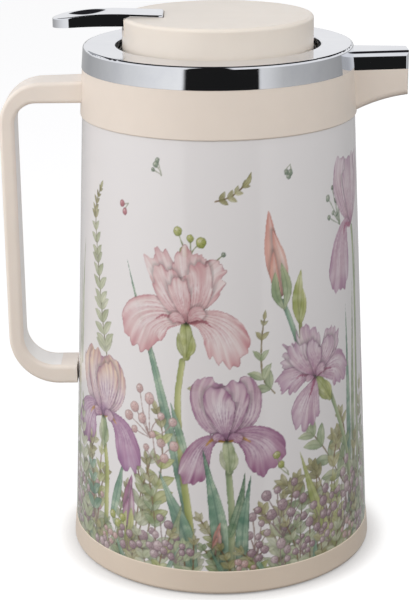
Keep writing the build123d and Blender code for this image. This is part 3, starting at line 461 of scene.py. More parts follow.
# ---------------------------------------------------------------- flowers
def petal_paint(base, body, edge, vein, line_ink, light, veins, seed, frill, heart):
    """Silky petal: streaks and veins run out from the throat, folds darken the frilled edge."""
    def paint(t, q, radius, spread, depth, noise):
        silk = value_noise(q * 6.5 + 11, t * 1.5 + 3, seed * 7 + 1)
        fine = value_noise(q * 17 + 5, t * 2.2 + 9, seed * 7 + 2)
        c = mix(base, body, smooth(t, 0.04, 0.46))
        c = mix(c, edge, smooth(t + 0.14 * silk, 0.60, 1.02) * 0.9)
        glow = light * bell(t - 0.54, 0.31) * bell(q, 0.95) * (0.84 + 0.5 * silk)
        c = mix(c, WHITE_INK, glow, 0.92)
        c = mix(c, WHITE_INK, 0.34 * fine * smooth(t, 0.2, 0.6), 0.4)
        streaks = -0.26 * fine * smooth(t, 0.1, 0.5) - 0.16 * silk * smooth(t, 0.3, 0.8)
        c = mix(c, line_ink, streaks, 0.4)
        c = mix(c, body * 0.94, 0.16 * noise[1], 0.35)
        c = mix(c, WHITE_INK, 0.14 * noise[2], 0.35)
        outer = smooth(np.maximum(t, np.abs(q) * smooth(t, 0.1, 0.4)), 0.58, 0.98)
        fold = value_noise(q * 8.5 + 2, t * 0.9, seed * 7 + 3) * outer
        c = mix(c, line_ink, frill * 1.1 * fold, 0.62)
        c = mix(c, WHITE_INK, -frill * fold, 0.6)
        # veins, a hair wide, twice as many past the middle: count, start, end, weight
        for count, start, end, weight in ((veins, 0.0, 0.80, 0.44),
                                          (veins * 2 + 1, 0.30, 0.90, 0.22)):
            x = q * count * 0.5 + 0.25 + 0.16 * np.sin(t * 5 + seed)
            gap = np.abs(x - np.round(x)) / (count * 0.5) * spread * radius
            reach = 0.5 + 0.5 * value_noise(np.round(x) + 20.0, 0.5, seed * 7 + 4)
            line = (bell(gap, 0.27) * smooth(t, start, start + 0.1)
                    * (1 - smooth(t, end - 0.36 * reach - 0.1, end)))
            c = mix(c, vein, line * weight * (0.85 + 0.2 * noise[0]), 0.8)
        c = mix(c, vein, heart * bell(t, 0.17), 0.8)
        c = mix(c, line_ink, wet_edge(depth, 0.9) * (0.34 + 0.22 * noise[1] + 0.2 * silk), 0.7)
        return mix(c, line_ink * 0.78, rim(depth, 0.26) * (0.36 + 0.24 * noise[2]), 0.7)
    return paint


# Petals of each flower form, back to front, in units of the flower's size:
# spine, half spread in degrees, kind, brightness, ruffle, scallops
FORMS = dict(
    open=[
        ([(0, 0), (-0.15, 0.45), (-0.42, 0.92), (-0.50, 1.10)], 22, "back", 0.85, 0.12, 5),
        ([(0, 0), (0.24, 0.40), (0.44, 0.72), (0.56, 0.84)], 25, "back", 0.70, 0.13, 6),
        ([(0, 0), (0.05, 0.50), (0.10, 0.94), (0.09, 1.12)], 25, "back", 0.80, 0.12, 6),
        ([(0, 0), (-0.32, 0.07), (-0.66, -0.06), (-0.84, -0.44)], 40, "fall", 1.05, 0.09, 7),
        ([(0, 0), (0.26, 0.02), (0.52, -0.16), (0.68, -0.64)], 36, "fall", 0.95, 0.11, 7),
        ([(0, 0), (-0.20, 0.32), (-0.34, 0.66), (-0.36, 0.82)], 27, "stand", 0.80, 0.12, 5),
        ([(0, 0), (0.16, 0.34), (0.20, 0.70), (0.17, 0.86)], 28, "stand", 0.65, 0.13, 5),
        ([(0, 0), (-0.07, 0.28), (-0.09, 0.52), (-0.07, 0.66)], 25, "stand", 0.85, 0.10, 4),
        ([(0.02, 0.0), (0.15, 0.10), (0.28, 0.12)], 36, "arm", 0.5, 0.06, 3),
        ([(-0.02, 0.0), (-0.13, 0.07), (-0.24, 0.05)], 32, "arm", 0.5, 0.06, 3),
    ],
    dome=[
        ([(0, 0), (-0.24, 0.34), (-0.26, 0.72), (-0.14, 0.94)], 27, "back", 0.50, 0.09, 5),
        ([(0, 0), (0.26, 0.36), (0.26, 0.76), (0.15, 0.98)], 27, "back", 0.45, 0.09, 5),
        ([(0, 0), (-0.20, 0.04), (-0.42, -0.20), (-0.60, -0.74)], 22, "fall", 0.60, 0.07, 5),
        ([(0, 0), (0.26, 0.04), (0.52, -0.14), (0.74, -0.52)], 34, "fall", 0.75, 0.09, 6),
        ([(0, 0), (0.08, 0.38), (0.10, 0.74), (0.03, 0.96)], 31, "stand", 0.65, 0.09, 5),
        ([(0, 0), (-0.08, 0.34), (-0.10, 0.64), (-0.02, 0.84)], 30, "stand", 0.95, 0.08, 4),
        ([(0.02, 0.0), (0.13, 0.05), (0.25, 0.0)], 32, "arm", 0.4, 0.05, 3),
        ([(-0.02, 0.0), (-0.12, 0.05), (-0.22, -0.02)], 32, "arm", 0.4, 0.05, 3),
    ],
    frill=[
        ([(0, 0), (-0.30, 0.30), (-0.56, 0.52), (-0.70, 0.58)], 28, "back", 0.80, 0.16, 7),
        ([(0, 0), (-0.04, 0.45), (-0.10, 0.82), (-0.08, 0.98)], 26, "back", 0.70, 0.14, 6),
        ([(0, 0), (0.32, 0.36), (0.54, 0.64), (0.60, 0.76)], 27, "back", 0.65, 0.15, 7),
        ([(0, 0), (0.26, 0.08), (0.56, 0.02), (0.76, -0.26)], 34, "fall", 0.90, 0.13, 7),
        ([(0, 0), (-0.30, 0.08), (-0.58, 0.04), (-0.76, -0.12)], 31, "fall", 0.75, 0.14, 8),
        ([(0, 0), (-0.10, -0.22), (-0.28, -0.56), (-0.36, -0.92)], 36, "fall", 1.0, 0.10, 7),
        ([(0, 0), (-0.20, 0.28), (-0.36, 0.54), (-0.38, 0.68)], 29, "stand", 0.70, 0.14, 6),
        ([(0, 0), (0.22, 0.26), (0.34, 0.50), (0.33, 0.64)], 28, "stand", 0.75, 0.14, 6),
        ([(0, 0), (0.02, 0.28), (-0.02, 0.52), (0.0, 0.64)], 28, "stand", 0.55, 0.13, 5),
        ([(0.02, -0.02), (0.14, 0.10), (0.24, 0.16)], 34, "arm", 0.4, 0.08, 3),
        ([(-0.02, -0.02), (-0.11, 0.02), (-0.21, -0.02)], 34, "arm", 0.4, 0.08, 3),
    ],
    side=[
        ([(0, 0), (0.16, 0.40), (0.24, 0.78), (0.22, 0.96)], 26, "back", 0.6, 0.10, 5),
        ([(0, 0), (-0.14, 0.36), (-0.20, 0.76), (-0.15, 1.0)], 25, "stand", 0.85, 0.10, 5),
        ([(0, 0), (0.06, 0.38), (0.04, 0.76), (0.02, 0.94)], 27, "stand", 0.7, 0.10, 5),
        ([(0, 0), (-0.16, 0.04), (-0.36, -0.20), (-0.48, -0.82)], 25, "fall", 0.75, 0.07, 6),
    ],
)
STAND = ("stand_foot", "stand_body", "stand_edge")
# kind: parts for foot, body and edge; their strengths; veins, frill, heart, opacity, shadow
PETALS = dict(
    back=(STAND, (0.98, 1, 1), 9, 0.45, 0.3, 0.93, 0.14),
    fall=(("fall_foot", "fall_body", "fall_edge"), (1, 1, 1), 11, 0.5, 0.55, 0.965, 0.14),
    stand=(STAND, (1, 1, 1), 9, 0.5, 0.5, 0.965, 0.2),
    arm=(("arm", "arm", "arm"), (0.86, 0.97, 1), 5, 0.35, 0.8, 0.965, 0.2),
)


def iris(number, palette, form, centre, size, turn, mirror=1):
    colours = PALETTES[palette]
    place = placer(centre, size, turn, mirror)
    seed = SHEET.seed + number
    random = np.random.RandomState(seed)
    for k, (spine, spread, kind, light, ruffle, scallops) in enumerate(FORMS[form]):
        spine = [spine[0]] + [(a + random.uniform(-0.03, 0.03), b + random.uniform(-0.03, 0.03))
                              for a, b in spine[1:]]
        petal_seed = seed * 13 + k
        parts, strengths, veins, frill, heart, opacity, shadow = PETALS[kind]
        washes = [colours[part] * strength for part, strength in zip(parts, strengths)]
        paint = petal_paint(*washes, colours["vein"], colours["rim"], light, veins, petal_seed,
                            frill, heart)
        fan([place(p) for p in spine], spread, paint, opacity, ruffle, scallops, petal_seed,
            shadow if k else 0.0)
        if kind == "fall":
            beard(place, spine, size, colours["beard"], petal_seed)


def beard(place, spine, size, colour, seed):
    """The furry streak at the throat of a falling petal."""
    b, d = spine[1], spine[2]
    points = [(0.25 * b[0], 0.25 * b[1]), b, ((b[0] + d[0]) / 2, (b[1] + d[1]) / 2)]
    stroke([place(p) for p in points], lambda t: size * 0.034 * (1 - t) ** 0.6 + 0.05,
           lambda along, across, depth, noise:
           mix(colour, colour * 0.74, 0.6 * (0.5 + 0.6 * noise[0]), 0.6),
           opacity=0.75, ruffle=0.5, waves=9, seed=seed, soft=0.35)


def ovary(tone, top, size, turn):
    """The green swelling under a flower, with two papery bracts."""
    place = placer(top, size, turn)

    def bract(width, green, opacity, points):
        leaf(width * size, green, [place(p) for p in points], opacity, peak=0.5)

    def half(t):
        return size * (0.13 + 0.10 * math.sin(math.pi * min(1, t * 1.35)) * (t < 0.75))

    bract(0.12, "pale" if tone == "sage" else tone, 0.9,
          [(0.0, -1.25), (-0.20, -0.80), (-0.26, -0.28)])
    stroke([place(p) for p in ((0, 0.05), (0.02, -0.50), (0, -1.15))], half,
           leaf_paint(tone, phase=3), 0.97, soft=0.25, shadow=0.1)
    bract(0.13, tone, 0.95, [(0.0, -1.2), (0.20, -0.85), (0.24, -0.36)])


# Furled petals of a bud, in units of its length:
# points, half width, widest at, foot part, foot strength, body part, shadow
BUD_PETALS = [
    ([(0.0, 0.05), (-0.035, 0.5), (0.0, 1.0)], 0.088, 0.42, "fall_body", 0.97, "fall_body", 0.1),
    ([(0.02, 0.05), (0.055, 0.38), (0.012, 0.78)], 0.066, 0.45, "stand_body", 1, "stand_body",
     0.25),
    ([(-0.02, 0.05), (-0.05, 0.28), (-0.02, 0.56)], 0.05, 0.45, "stand_body", 1, "stand_edge",
     0.2),
]


def silk_paint(foot, body, tip, line_ink, seed):
    def paint(along, across, depth, noise):
        c = mix(foot, body, smooth(along, 0.1, 0.5))
        c = mix(c, tip, smooth(along, 0.55, 1.0) * 0.9)
        c = mix(c, WHITE_INK, 0.45 * bell(across + 0.25, 0.35) * smooth(along, 0.1, 0.4), 0.5)
        c = mix(c, tip * 0.86, 0.35 * value_noise(across * 6 + 3, along * 1.6, seed), 0.4)
        return mix(c, line_ink, wet_edge(depth, 0.45) * 0.5, 0.8)
    return paint


def bud(number, palette, tone, foot, length, turn):
    """A furled bud in its green sheath."""
    colours = PALETTES[palette]
    place = placer(foot, length, turn)
    seed = SHEET.seed + number
    tip = colours["fall_edge"] * 0.98
    for k, (points, width, peak, low, strength, body, shadow) in enumerate(BUD_PETALS):
        stroke([place(p) for p in points], swell(width * length, peak, 0.8, 0.02),
               silk_paint(colours[low] * strength, colours[body], tip, colours["rim"],
                          seed + 1 + k),
               0.97, ruffle=0.03, waves=2, seed=seed + k, shadow=shadow)
    for width, points in ((0.052, [(0.0, -0.10), (-0.065, 0.10), (-0.035, 0.34)]),
                          (0.055, [(0.0, -0.10), (0.075, 0.12), (0.05, 0.42)])):
        leaf(width * length, tone, [place(p) for p in points], 0.97, peak=0.5)


# ---------------------------------------------------------------- planting tables
# Places are (u, z) in mm from the middle of a repeat.  Numbers seed the random parts.
# Sprays: number, pairs, leaflet length, half width, tone, points,
#         then tip tone, leaflet angle, taper, stalk colour, opacity
TALL_SPRAY = (1, 17, 10.0, 2.2, "pale", [(-59, 106), (-62.6, 122), (-65.5, 140), (-68.6, 158),
                                         (-70, 174), (-65.5, 184)],
              "olive", 46, 1.0, "8c8a5e", 0.92)
FAR_SPRAYS = [
    (2, 5, 9.5, 2.1, "sage", [(24, 96), (18.5, 104), (18.0, 120), (19.5, 131)], "olive", 46),
    (3, 7, 12.5, 3.0, "lime", [(-34, 28), (-31, 44), (-27.5, 60), (-27, 78), (-30, 88)],
     "olive", 44),
    (4, 5, 15.5, 3.3, "sage", [(71, 32), (60, 48), (50, 64), (42, 74)], "sage", 52, 0.6),
    (40, 7, 12.0, 2.9, "sage", [(80, 12), (74, 36), (63, 56), (57, 68)], "olive", 48, 0.6,
     BROWN_STALK, 0.84),
    (41, 8, 11.0, 2.7, "olive", [(60, 10), (52, 28), (39, 44), (27, 52)], "olive", 48, 0.6,
     BROWN_STALK, 0.84),
]
# u and z of the bend, and the sideways sweep
SWEPT_SPRAYS = [(22, 30, 6), (31, 42, -5), (48, 46, 7), (57, 58, -6), (66, 66, 5), (74, 50, -4),
                (86, 40, 5), (-90, 52, 5), (-63, 40, -5)]
SIDE_SPRAYS = [
    (42, 8, 11.0, 2.7, "pale", [(92, 14), (90, 44), (84, 66), (86, 84)], "olive", 46, 0.7,
     BROWN_STALK, 0.84),
    (43, 8, 9.5, 2.4, "pale", [(-45, 8), (-39, 24), (-36.5, 44), (-40, 60)], "lime", 46, 0.6,
     BROWN_STALK, 0.84),
    (44, 8, 10.0, 2.5, "pale", [(-72, 8), (-75, 28), (-74, 50), (-69, 64)], "olive", 46, 0.6,
     BROWN_STALK, 0.84),
    (5, 4, 7.5, 1.9, "olive", [(-8, 104), (-10, 97), (-5, 90), (-1, 84)], None, 46),
]
HIGH_SPRAY = (22, 4, 5.2, 1.3, "olive", [(-2.5, 184.5), (4.5, 186.5), (11.5, 191.5)],
              "olive", 42, 0.5, "8a6f4c")
# u, z and tone of the side growth near the design's edges
CLIMBERS = [(-97, 62, "sage"), (-101, 34, "blue"), (-76, 30, "sage"), (-70, 44, "blue"),
            (88, 52, "sage"), (95, 30, "blue"), (-82, 58, "pale"), (101, 60, "pale")]

# Blades: half width, tone, phase of the lines, opacity, points from foot to tip
FAR_BLADES = [
    (1.7, "pale", 2, 0.9, [(-86, 96), (-85, 130), (-82.5, 157)]),
    (2.0, "pale", 3, 0.8, [(-88, 40), (-90, 90), (-87, 150)]),
    (2.5, "blue", 4, 0.95, [(-14.5, 34), (-21.5, 70), (-32, 112), (-40.5, 138), (-46, 155)]),
    (2.2, "sage", 5, 0.9, [(74, 18), (75, 80), (78, 138)]),
    (1.8, "pale", 6, 0.9, [(79, 18), (80.5, 90), (84, 160)]),
    (2.3, "blue", 7, 0.9, [(69, 30), (70, 80), (69.5, 128)]),
]
MIDDLE_BLADES = [
    (2.5, "blue", 11, 0.95, [(-54, 32), (-50, 48), (-47.5, 60)]),
    (2.3, "deep", 15, 0.95, [(3.2, 30), (7.5, 44), (10.0, 60)]),
    (3.0, "lime", 16, 0.95, [(52, 20), (44, 40), (36, 66)]),
]
NEAR_BLADES = [
    (4.3, "blue", 21, 0.97, [(-13.5, 14), (-17.5, 32), (-28.5, 58.5)]),
    (4.0, "blue", 22, 0.97, [(0.0, 14), (-2.5, 40), (-8.5, 71)]),
    (3.0, "blue", 23, 0.97, [(8.0, 14), (8.8, 34), (12.5, 58)]),
    (2.6, "sage", 24, 0.95, [(-20.5, 14), (-21.5, 26), (-18.0, 44)]),
]

# Stems: half width at the foot, tone, points
STEMS = [
    (1.75, "lime", [(-13.8, 16), (-14.6, 36), (-17.5, 60), (-19.8, 92), (-17.6, 112)]),
    (1.6, "lime", [(-58.7, 16), (-58.6, 36), (-58.3, 52), (-60.5, 66)]),
    (1.7, "sage", [(2.6, 16), (4.2, 34), (3.4, 50), (2.6, 63)]),
    (1.4, "sage", [(71, 40), (66, 62), (60, 78), (55, 90)]),
    (1.35, "blue", [(36, 118), (32.5, 128), (28.6, 138)]),
    (1.1, "lime", [(38.5, 112), (37.9, 119), (37.6, 127)]),
    (1.5, "lime", [(-45, 16), (-45.5, 22), (-45.2, 30)]),
]

# Irises: number, palette, form, centre, size, turn in degrees, mirror;
#         then the ovary's tone, top, size and turn
IRISES = [
    ((7, "pink", "open", (-15.6, 130), 29.5, 2, 1), ("lime", (-16.2, 129), 13, 2)),
    ((8, "peach", "dome", (-61.5, 77.5), 30, 3, -1), ("sage", (-61.3, 76.5), 11, 2)),
    ((9, "lilac", "frill", (45.5, 100), 25.5, 2, 1), ("lime", (46.6, 98.5), 12, 36)),
    ((10, "violet", "dome", (2.0, 75.5), 28.5, 0, 1), ("sage", (2.3, 74.5), 12, 4)),
]

# Berries: number, kind, radius, stalk colour, root, spots
FAR_BERRIES = [
    (34, "mauve", 1.9, "a08b84", (14, 18),
     [(9.5, 34.0), (13.0, 38.0), (17.0, 34.5), (11.5, 29.0), (15.5, 28.0), (19.5, 29.5)]),
    (35, "plum", 2.1, BERRY_STALK, (52, 18),
     [(46.5, 40.0), (50.5, 44.0), (54.5, 39.0), (48.0, 33.0), (52.5, 31.0), (56.0, 33.0),
      (44.5, 29.0)]),
    (36, "rose", 2.0, "a58a86", (-66, 18),
     [(-62.0, 38.0), (-66.0, 42.0), (-69.5, 36.0), (-64.0, 31.0), (-68.5, 29.0)]),
]
TOP_BERRIES = [
    (20, "grey", 1.15, "a8ad9c", (-27.5, 195), [(-30.5, 199.5), (-31.8, 197.2), (-29.6, 201.5)]),
    (21, "red", 1.35, "a8ad9c", (-45.5, 180.5), [(-49.3, 180.0), (-47.6, 176.6)]),
]
HIGH_BERRIES = [
    (23, "grey", 1.25, "a8ad9c", (33.5, 198.5), [(33.4, 195.0), (31.4, 195.6), (32.6, 193.4)]),
    # beside the high iris
    (24, "grey", 1.25, "93a08a", (66, 166),
     [(57.0, 171), (60.2, 172.5), (63.3, 171.5), (56.4, 180), (60.0, 184), (62.5, 187.5),
      (65.0, 180.5), (62.8, 178), (66.4, 176)]),
    # seed heads over the pink iris
    (25, "green", 2.15, "8f9a72", (-14, 158),
     [(-19.6, 171), (-13.8, 168.0), (-8.8, 166.3), (-16.6, 162.0)]),
    (26, "grey", 1.3, "8f9a72", (-5, 155), [(1.2, 161.0)]),
]
NEAR_BERRIES = [
    (15, "rose", 2.3, "a58a86", (-33, 74),
     [(-38.5, 96.5), (-33.4, 92.6), (-41.2, 87.2), (-37.2, 82.5), (-44.4, 82.5), (-41.2, 76.4),
      (-27.6, 85.0), (-22.0, 83.0)]),
    (16, "rose", 2.0, "a58a86", (-29, 62),
     [(-31.8, 75.6), (-27.6, 72.2), (-35.0, 69.0), (-26.0, 65.2), (-21.5, 71.6)]),
    (17, "plum", 2.35, BERRY_STALK, (-26, 16),
     [(-28.0, 36.0), (-24.0, 33.0), (-32.0, 28.5), (-36.5, 25.0), (-31.0, 20.5), (-24.5, 22.5),
      (-39.5, 19.0), (-20.5, 27.0)]),
    (18, "green", 1.9, "8f9a72", (-51, 16),
     [(-50.6, 27.6), (-48.0, 31.0), (-54.0, 31.0), (-49.2, 23.0)]),
    (19, "plum", 2.3, BERRY_STALK, (27, 26),
     [(19.5, 47.5), (24.6, 49.5), (27.0, 42.0), (21.8, 38.0), (33.8, 45.5), (37.5, 43.0),
      (31.0, 37.5), (34.5, 33.5), (28.0, 31.0), (15.5, 41.0), (37.5, 34.0), (33.0, 52.0)]),
    (27, "plum", 2.0, BERRY_STALK, (62, 18),
     [(58.0, 40.0), (62.5, 37.0), (66.0, 42.5), (69.5, 36.0), (64.5, 30.0), (60.0, 28.0),
      (70.0, 28.5), (73.5, 42.0), (74.5, 33.0), (68.0, 22.5), (63.0, 47.5)]),
    (28, "green", 1.9, "8f9a72", (30, 56), [(26.6, 61.6), (24.5, 66.5)]),
]
EDGE_BERRIES = [
    (31, "mauve", 2.1, BERRY_STALK, (-84, 24),
     [(-80, 38), (-86, 41), (-90, 33), (-82, 30), (-75, 36), (-88, 26)]),
    (32, "mauve", 2.1, BERRY_STALK, (97, 26),
     [(92, 44), (98, 48), (102, 40), (94, 36), (100, 31), (89, 31)]),
]
# Clusters: middle u and z, count, reach in u and in z
CLUSTERS = [(46, 32, 6, 8, 8), (66, 42, 7, 7, 11), (-88, 34, 7, 8, 11), (86, 36, 7, 8, 11)]


# ---------------------------------------------------------------- the garden
def draw(piece, rows):
    for row in rows:
        piece(*row)


def far_layer():
    """Pale sprays and long blades."""
    spray(*TALL_SPRAY)
    draw(blade, FAR_BLADES)
    draw(spray, FAR_SPRAYS)
    for k, (x, z, sweep) in enumerate(SWEPT_SPRAYS):
        points = [(x + sweep, 7), (x + 0.8 * sweep, 0.45 * z), (x, z), (x - 0.8 * sweep, z + 12)]
        spray(60 + k, 6, 9.5, 2.6, ("olive", "sage", "pale")[k % 3], points, "olive", 48, 0.6,
              BROWN_STALK, 0.86)
    draw(spray, SIDE_SPRAYS)


def foliage_screen():
    """Random pale foliage behind the flowers, lower in the middle."""
    random = np.random.RandomState(SHEET.seed + 300)
    for k in range(17):
        x = -100 + 200 * (k + random.uniform(-0.3, 0.3)) / 16.5
        height = random.uniform(34, 58) * (0.62 if -26 < x < 16 else 1.05)
        lean = random.uniform(-11, 11)
        spray(320 + k, random.randint(6, 9), random.uniform(8.0, 11.5),
              random.uniform(1.9, 2.7), ("pale", "sage", "pale", "lime", "sage")[k % 5],
              [(x, 8), (x + 0.30 * lean, 8 + 0.55 * height), (x + lean, 8 + height)],
              ("olive", None)[k % 2], 46, 0.8, "957c58", 0.74)


def flowers():
    """The stems, their leaves, high pieces and the irises."""
    draw(stem, STEMS)
    draw(blade, MIDDLE_BLADES)
    leaf(1.8, "blue", [(-15.5, 66), (-19, 78), (-23, 92)], 0.9)
    bud(6, "salmon", "sage", (28.7, 138), 42, 9)
    leaf(3.1, "lime", [(37.6, 126), (36.4, 138), (38.4, 151)], 0.97)
    leaf(1.8, "lime", [(37.6, 126), (39.6, 135), (39.0, 143)], 0.97)
    draw(berries, TOP_BERRIES)
    spray(*HIGH_SPRAY)
    leaf(1.2, "olive", [(10.5, 190.5), (13.0, 193.6), (14.2, 197)])
    draw(berries, HIGH_BERRIES)
    for flower, swelling in IRISES:
        ovary(*swelling)
        iris(*flower)
    # high iris, half turned away
    iris(11, "lilac", "side", (78.0, 163), 34, 4)
    stem(1.3, "sage", [(79, 162), (80.5, 150), (81, 120), (80, 60), (79, 20)])


def near_layer():
    bud(13, "violet", "lime", (-45.6, 26), 28, -6)
    draw(blade, NEAR_BLADES)
    bud(14, "salmon", "sage", (-3.5, 19), 17, -8)
    draw(berries, NEAR_BERRIES)


def undergrowth():
    """Random open fronds on brown stalks along the foot, with berries among them."""
    random = np.random.RandomState(SHEET.seed + 29)
    for k in range(27):
        x = -103 + 206 * (k + random.uniform(-0.35, 0.35)) / 27
        height = random.uniform(14, 30) * (0.85 if -24 < x < 10 else 1.0)
        lean = random.uniform(-10, 10)
        spray(100 + k, random.randint(3, 6), random.uniform(6.0, 9.0), random.uniform(1.6, 2.4),
              ("pale", "sage", "olive", "pale", "lime", "sage")[k % 6],
              [(x, 6), (x + 0.25 * lean, 6 + 0.5 * height), (x + lean, 6 + height)],
              ("olive", None)[k % 2], 50, 0.6, "87694a", 0.82)
        if k % 3 == 1:
            blade(random.uniform(1.2, 2.0), "blue", k, 0.85,
                  [(x + 3, 6), (x + 3 + 0.4 * lean, 14), (x + 3 + lean, 24)])
    for k in range(17):
        x = -101 + 202 * (k + random.uniform(-0.4, 0.4)) / 17
        if -16 < x < 6:
            continue
        z = random.uniform(14, 27)
        cluster((x, z - 7), random.randint(4, 8), random.uniform(4.5, 7.5),
                random.uniform(4.0, 7.0), ("plum", "mauve", "plum", "mauve", "rose")[k % 5],
                random.uniform(1.5, 2.15), 400 + k)
    for k, (x, z, count, reach_x, reach_z) in enumerate(CLUSTERS):
        cluster((x, z - reach_z - 1), count, reach_x, reach_z, ("plum", "mauve")[k % 2], 2.25,
                440 + k)


def edge_growth():
    """Side growth climbing near the design's edges."""
    for k, (x, z, tone) in enumerate(CLIMBERS):
        spray(200 + k, 6, 9.0, 2.3, tone, [(x + 2, z - 18), (x, z), (x - 2, z + 20)],
              "olive" if k % 2 else None, 48, 0.8)
    draw(berries, EDGE_BERRIES)
    bud(33, "lilac", "sage", (96, 66), 34, 4)
    stem(1.4, "sage", [(94, 20), (95, 44), (96, 66)])


def paint_sheet():
    """The design twice round the jug, each repeat with its own seed."""
    for SHEET.middle, SHEET.seed in ((0.0, 100), (GIRTH / 2, 500)):
        far_layer()
        foliage_screen()
        draw(berries, FAR_BERRIES)
        flowers()
        near_layer()
        undergrowth()
        edge_growth()


def srgb_to_linear(c):
    c = np.clip(c, 0, 1)
    return np.where(c <= 0.04045, c / 12.92, ((c + 0.055) / 1.055) ** 2.4)


# ---------------------------------------------------------------- material building
class Graph:
    """Short hands for building a node tree."""

    place = None      # coordinates that noise uses unless told otherwise

    def __init__(self, tree):
        self.nodes, self.links = tree.nodes, tree.links

    def feed(self, socket, value):
        """Link a socket or set its value; a colour may leave out its alpha."""
        if isinstance(value, bpy.types.NodeSocket):
            self.links.new(value, socket)
        elif socket.type == "RGBA" and len(value) == 3:
            socket.default_value = (*value, 1)
        else:
            socket.default_value = value

    def node(self, kind, inputs=None, **settings):
        made = self.nodes.new("ShaderNode" + kind)
        for key, value in settings.items():
            setattr(made, key, value)
        for key, value in (inputs or {}).items():
            self.feed(made.inputs[key], value)
        return made

    def noise(self, scale, detail=2.0, rough=0.5, vector=None, stretch=None):
        vector = vector or self.place
        if stretch:
            vector = self.node("Mapping", {"Scale": stretch, "Vector": vector}).outputs[0]
        inputs = {"Scale": scale, "Detail": detail, "Roughness": rough}
        if vector:
            inputs["Vector"] = vector
        return self.node("TexNoise", inputs).outputs["Fac"]

    def remap(self, value, low, high, to_low=0.0, to_high=1.0, ease="LINEAR"):
        return self.node("MapRange", {"Value": value, "From Min": low, "From Max": high,
                                      "To Min": to_low, "To Max": to_high},
                         interpolation_type=ease).outputs[0]

    def mix(self, factor, a, b, mode="MIX"):
        return self.node("Mix", {"Factor": factor, 6: a, 7: b}, data_type="RGBA",
                         blend_type=mode).outputs[2]

    def math(self, operation, a, b=0.0, clamp=False):
        return self.node("Math", {0: a, 1: b}, operation=operation, use_clamp=clamp).outputs[0]


class Finish(Graph):
    """A principled material whose coordinates are the object's own, in millimetres."""

    def __init__(self, name):
        self.material = bpy.data.materials.new(name)
        self.material.use_nodes = True
        super().__init__(self.material.node_tree)
        self.shader = next(x for x in self.nodes if x.type == "BSDF_PRINCIPLED")
        self.place = self.node("Mapping", {
            "Vector": self.node("TexCoord").outputs["Object"],
            "Scale": (1000, 1000, 1000)}).outputs[0]

    def put(self, socket, value):
        self.feed(self.shader.inputs[socket], value)

    def subsurface(self, weight, radius, scale):
        self.put("Subsurface Weight", weight)
        self.put("Subsurface Radius", radius)
        self.put("Subsurface Scale", scale)

    def bump(self, height, depth_mm, under=None):
        inputs = {"Distance": depth_mm * MM, "Height": height}
        if under is not None:
            inputs["Normal"] = under
        return self.node("Bump", inputs).outputs[0]

    def edge(self, low, high):
        """Strong on sharp outward edges."""
        return self.remap(self.node("NewGeometry").outputs["Pointiness"], low, high)

    def spin(self):
        """(angle in radians, radius, height) about the jug's axis, for marks that run round it."""
        x, y, z = self.node("SeparateXYZ", {0: self.place}).outputs
        angle = self.math("ARCTAN2", y, x)
        squares = self.math("ADD", self.math("MULTIPLY", x, x), self.math("MULTIPLY", y, y))
        return self.node("CombineXYZ", {0: angle, 1: self.math("SQRT", squares), 2: z}).outputs[0]


def lin(r, g, b):
    return tuple(float(v) for v in srgb_to_linear(np.array([r, g, b]) / 255.0))


def scaled(colour, factor, plus=0.0):
    return [min(1, v * factor + plus) for v in colour]


# ---------------------------------------------------------------- finishes
def moulded(name, colour, rough=0.37, coat=0.12, grain=0.005, sss=0.06):
    """Moulded plastic: even colour, a faint cloud, fine grain and a painted highlight on sharp
    edges.
    """
    f = Finish(name)
    cloud = f.noise(scale=0.035, detail=3, rough=0.6)
    speck = f.noise(scale=1.1)
    base = lin(*colour)
    c = f.mix(f.remap(cloud, 0.3, 0.7), scaled(base, 0.975), scaled(base, 1.02))
    c = f.mix(f.remap(speck, 0.35, 0.75, to_high=0.05), c, scaled(base, 0.9))
    # painted highlight: the colour goes lighter on sharp outward edges, where light would catch
    # them
    painted_edge_highlight = f.math("MULTIPLY", f.edge(0.53, 0.62), 0.10)
    f.put("Base Color", f.mix(painted_edge_highlight, c, scaled(base, 1.12)))
    smudge = f.noise(scale=0.09, detail=4, rough=0.62)
    f.put("Roughness", f.remap(smudge, 0.3, 0.7, rough - 0.035, rough + 0.04))
    f.put("IOR", 1.46)
    if coat:
        f.put("Coat Weight", coat)
        f.put("Coat Roughness", 0.2)
    f.subsurface(sss, radius=(0.6, 0.5, 0.4), scale=0.0025)
    fine = f.bump(f.noise(scale=3.4, rough=0.55), grain)
    f.put("Normal", f.bump(f.noise(scale=0.16), depth_mm=0.02, under=fine))
    return f.material


def chrome(name):
    """Bright plate, slightly blue, with wipe marks, hair scratches, waviness and a painted
    highlight on sharp edges.
    """
    f = Finish(name)
    wipe = f.noise(scale=0.06, detail=4, rough=0.6)
    c = f.mix(f.remap(wipe, 0.35, 0.7), lin(236, 238, 242), lin(228, 230, 236))
    # painted highlight: sharp outward edges get a lighter colour
    c = f.mix(f.math("MULTIPLY", f.edge(0.56, 0.66), 0.15), c, lin(247, 248, 250))
    f.put("Base Color", c)
    f.put("Metallic", 1.0)
    scratch = f.noise(scale=1.0, detail=3, rough=0.7, vector=f.spin(), stretch=(0.9, 9.0, 9.0))
    smear = f.noise(scale=0.22, detail=3, rough=0.65)
    f.put("Roughness", f.math("ADD", f.remap(smear, 0.35, 0.75, 0.022, 0.06),
                              f.remap(scratch, 0.62, 0.80, 0.0, 0.05)))
    waves = f.bump(f.noise(scale=0.05), depth_mm=0.006)
    f.put("Normal", f.bump(scratch, depth_mm=0.0012, under=waves))
    return f.material


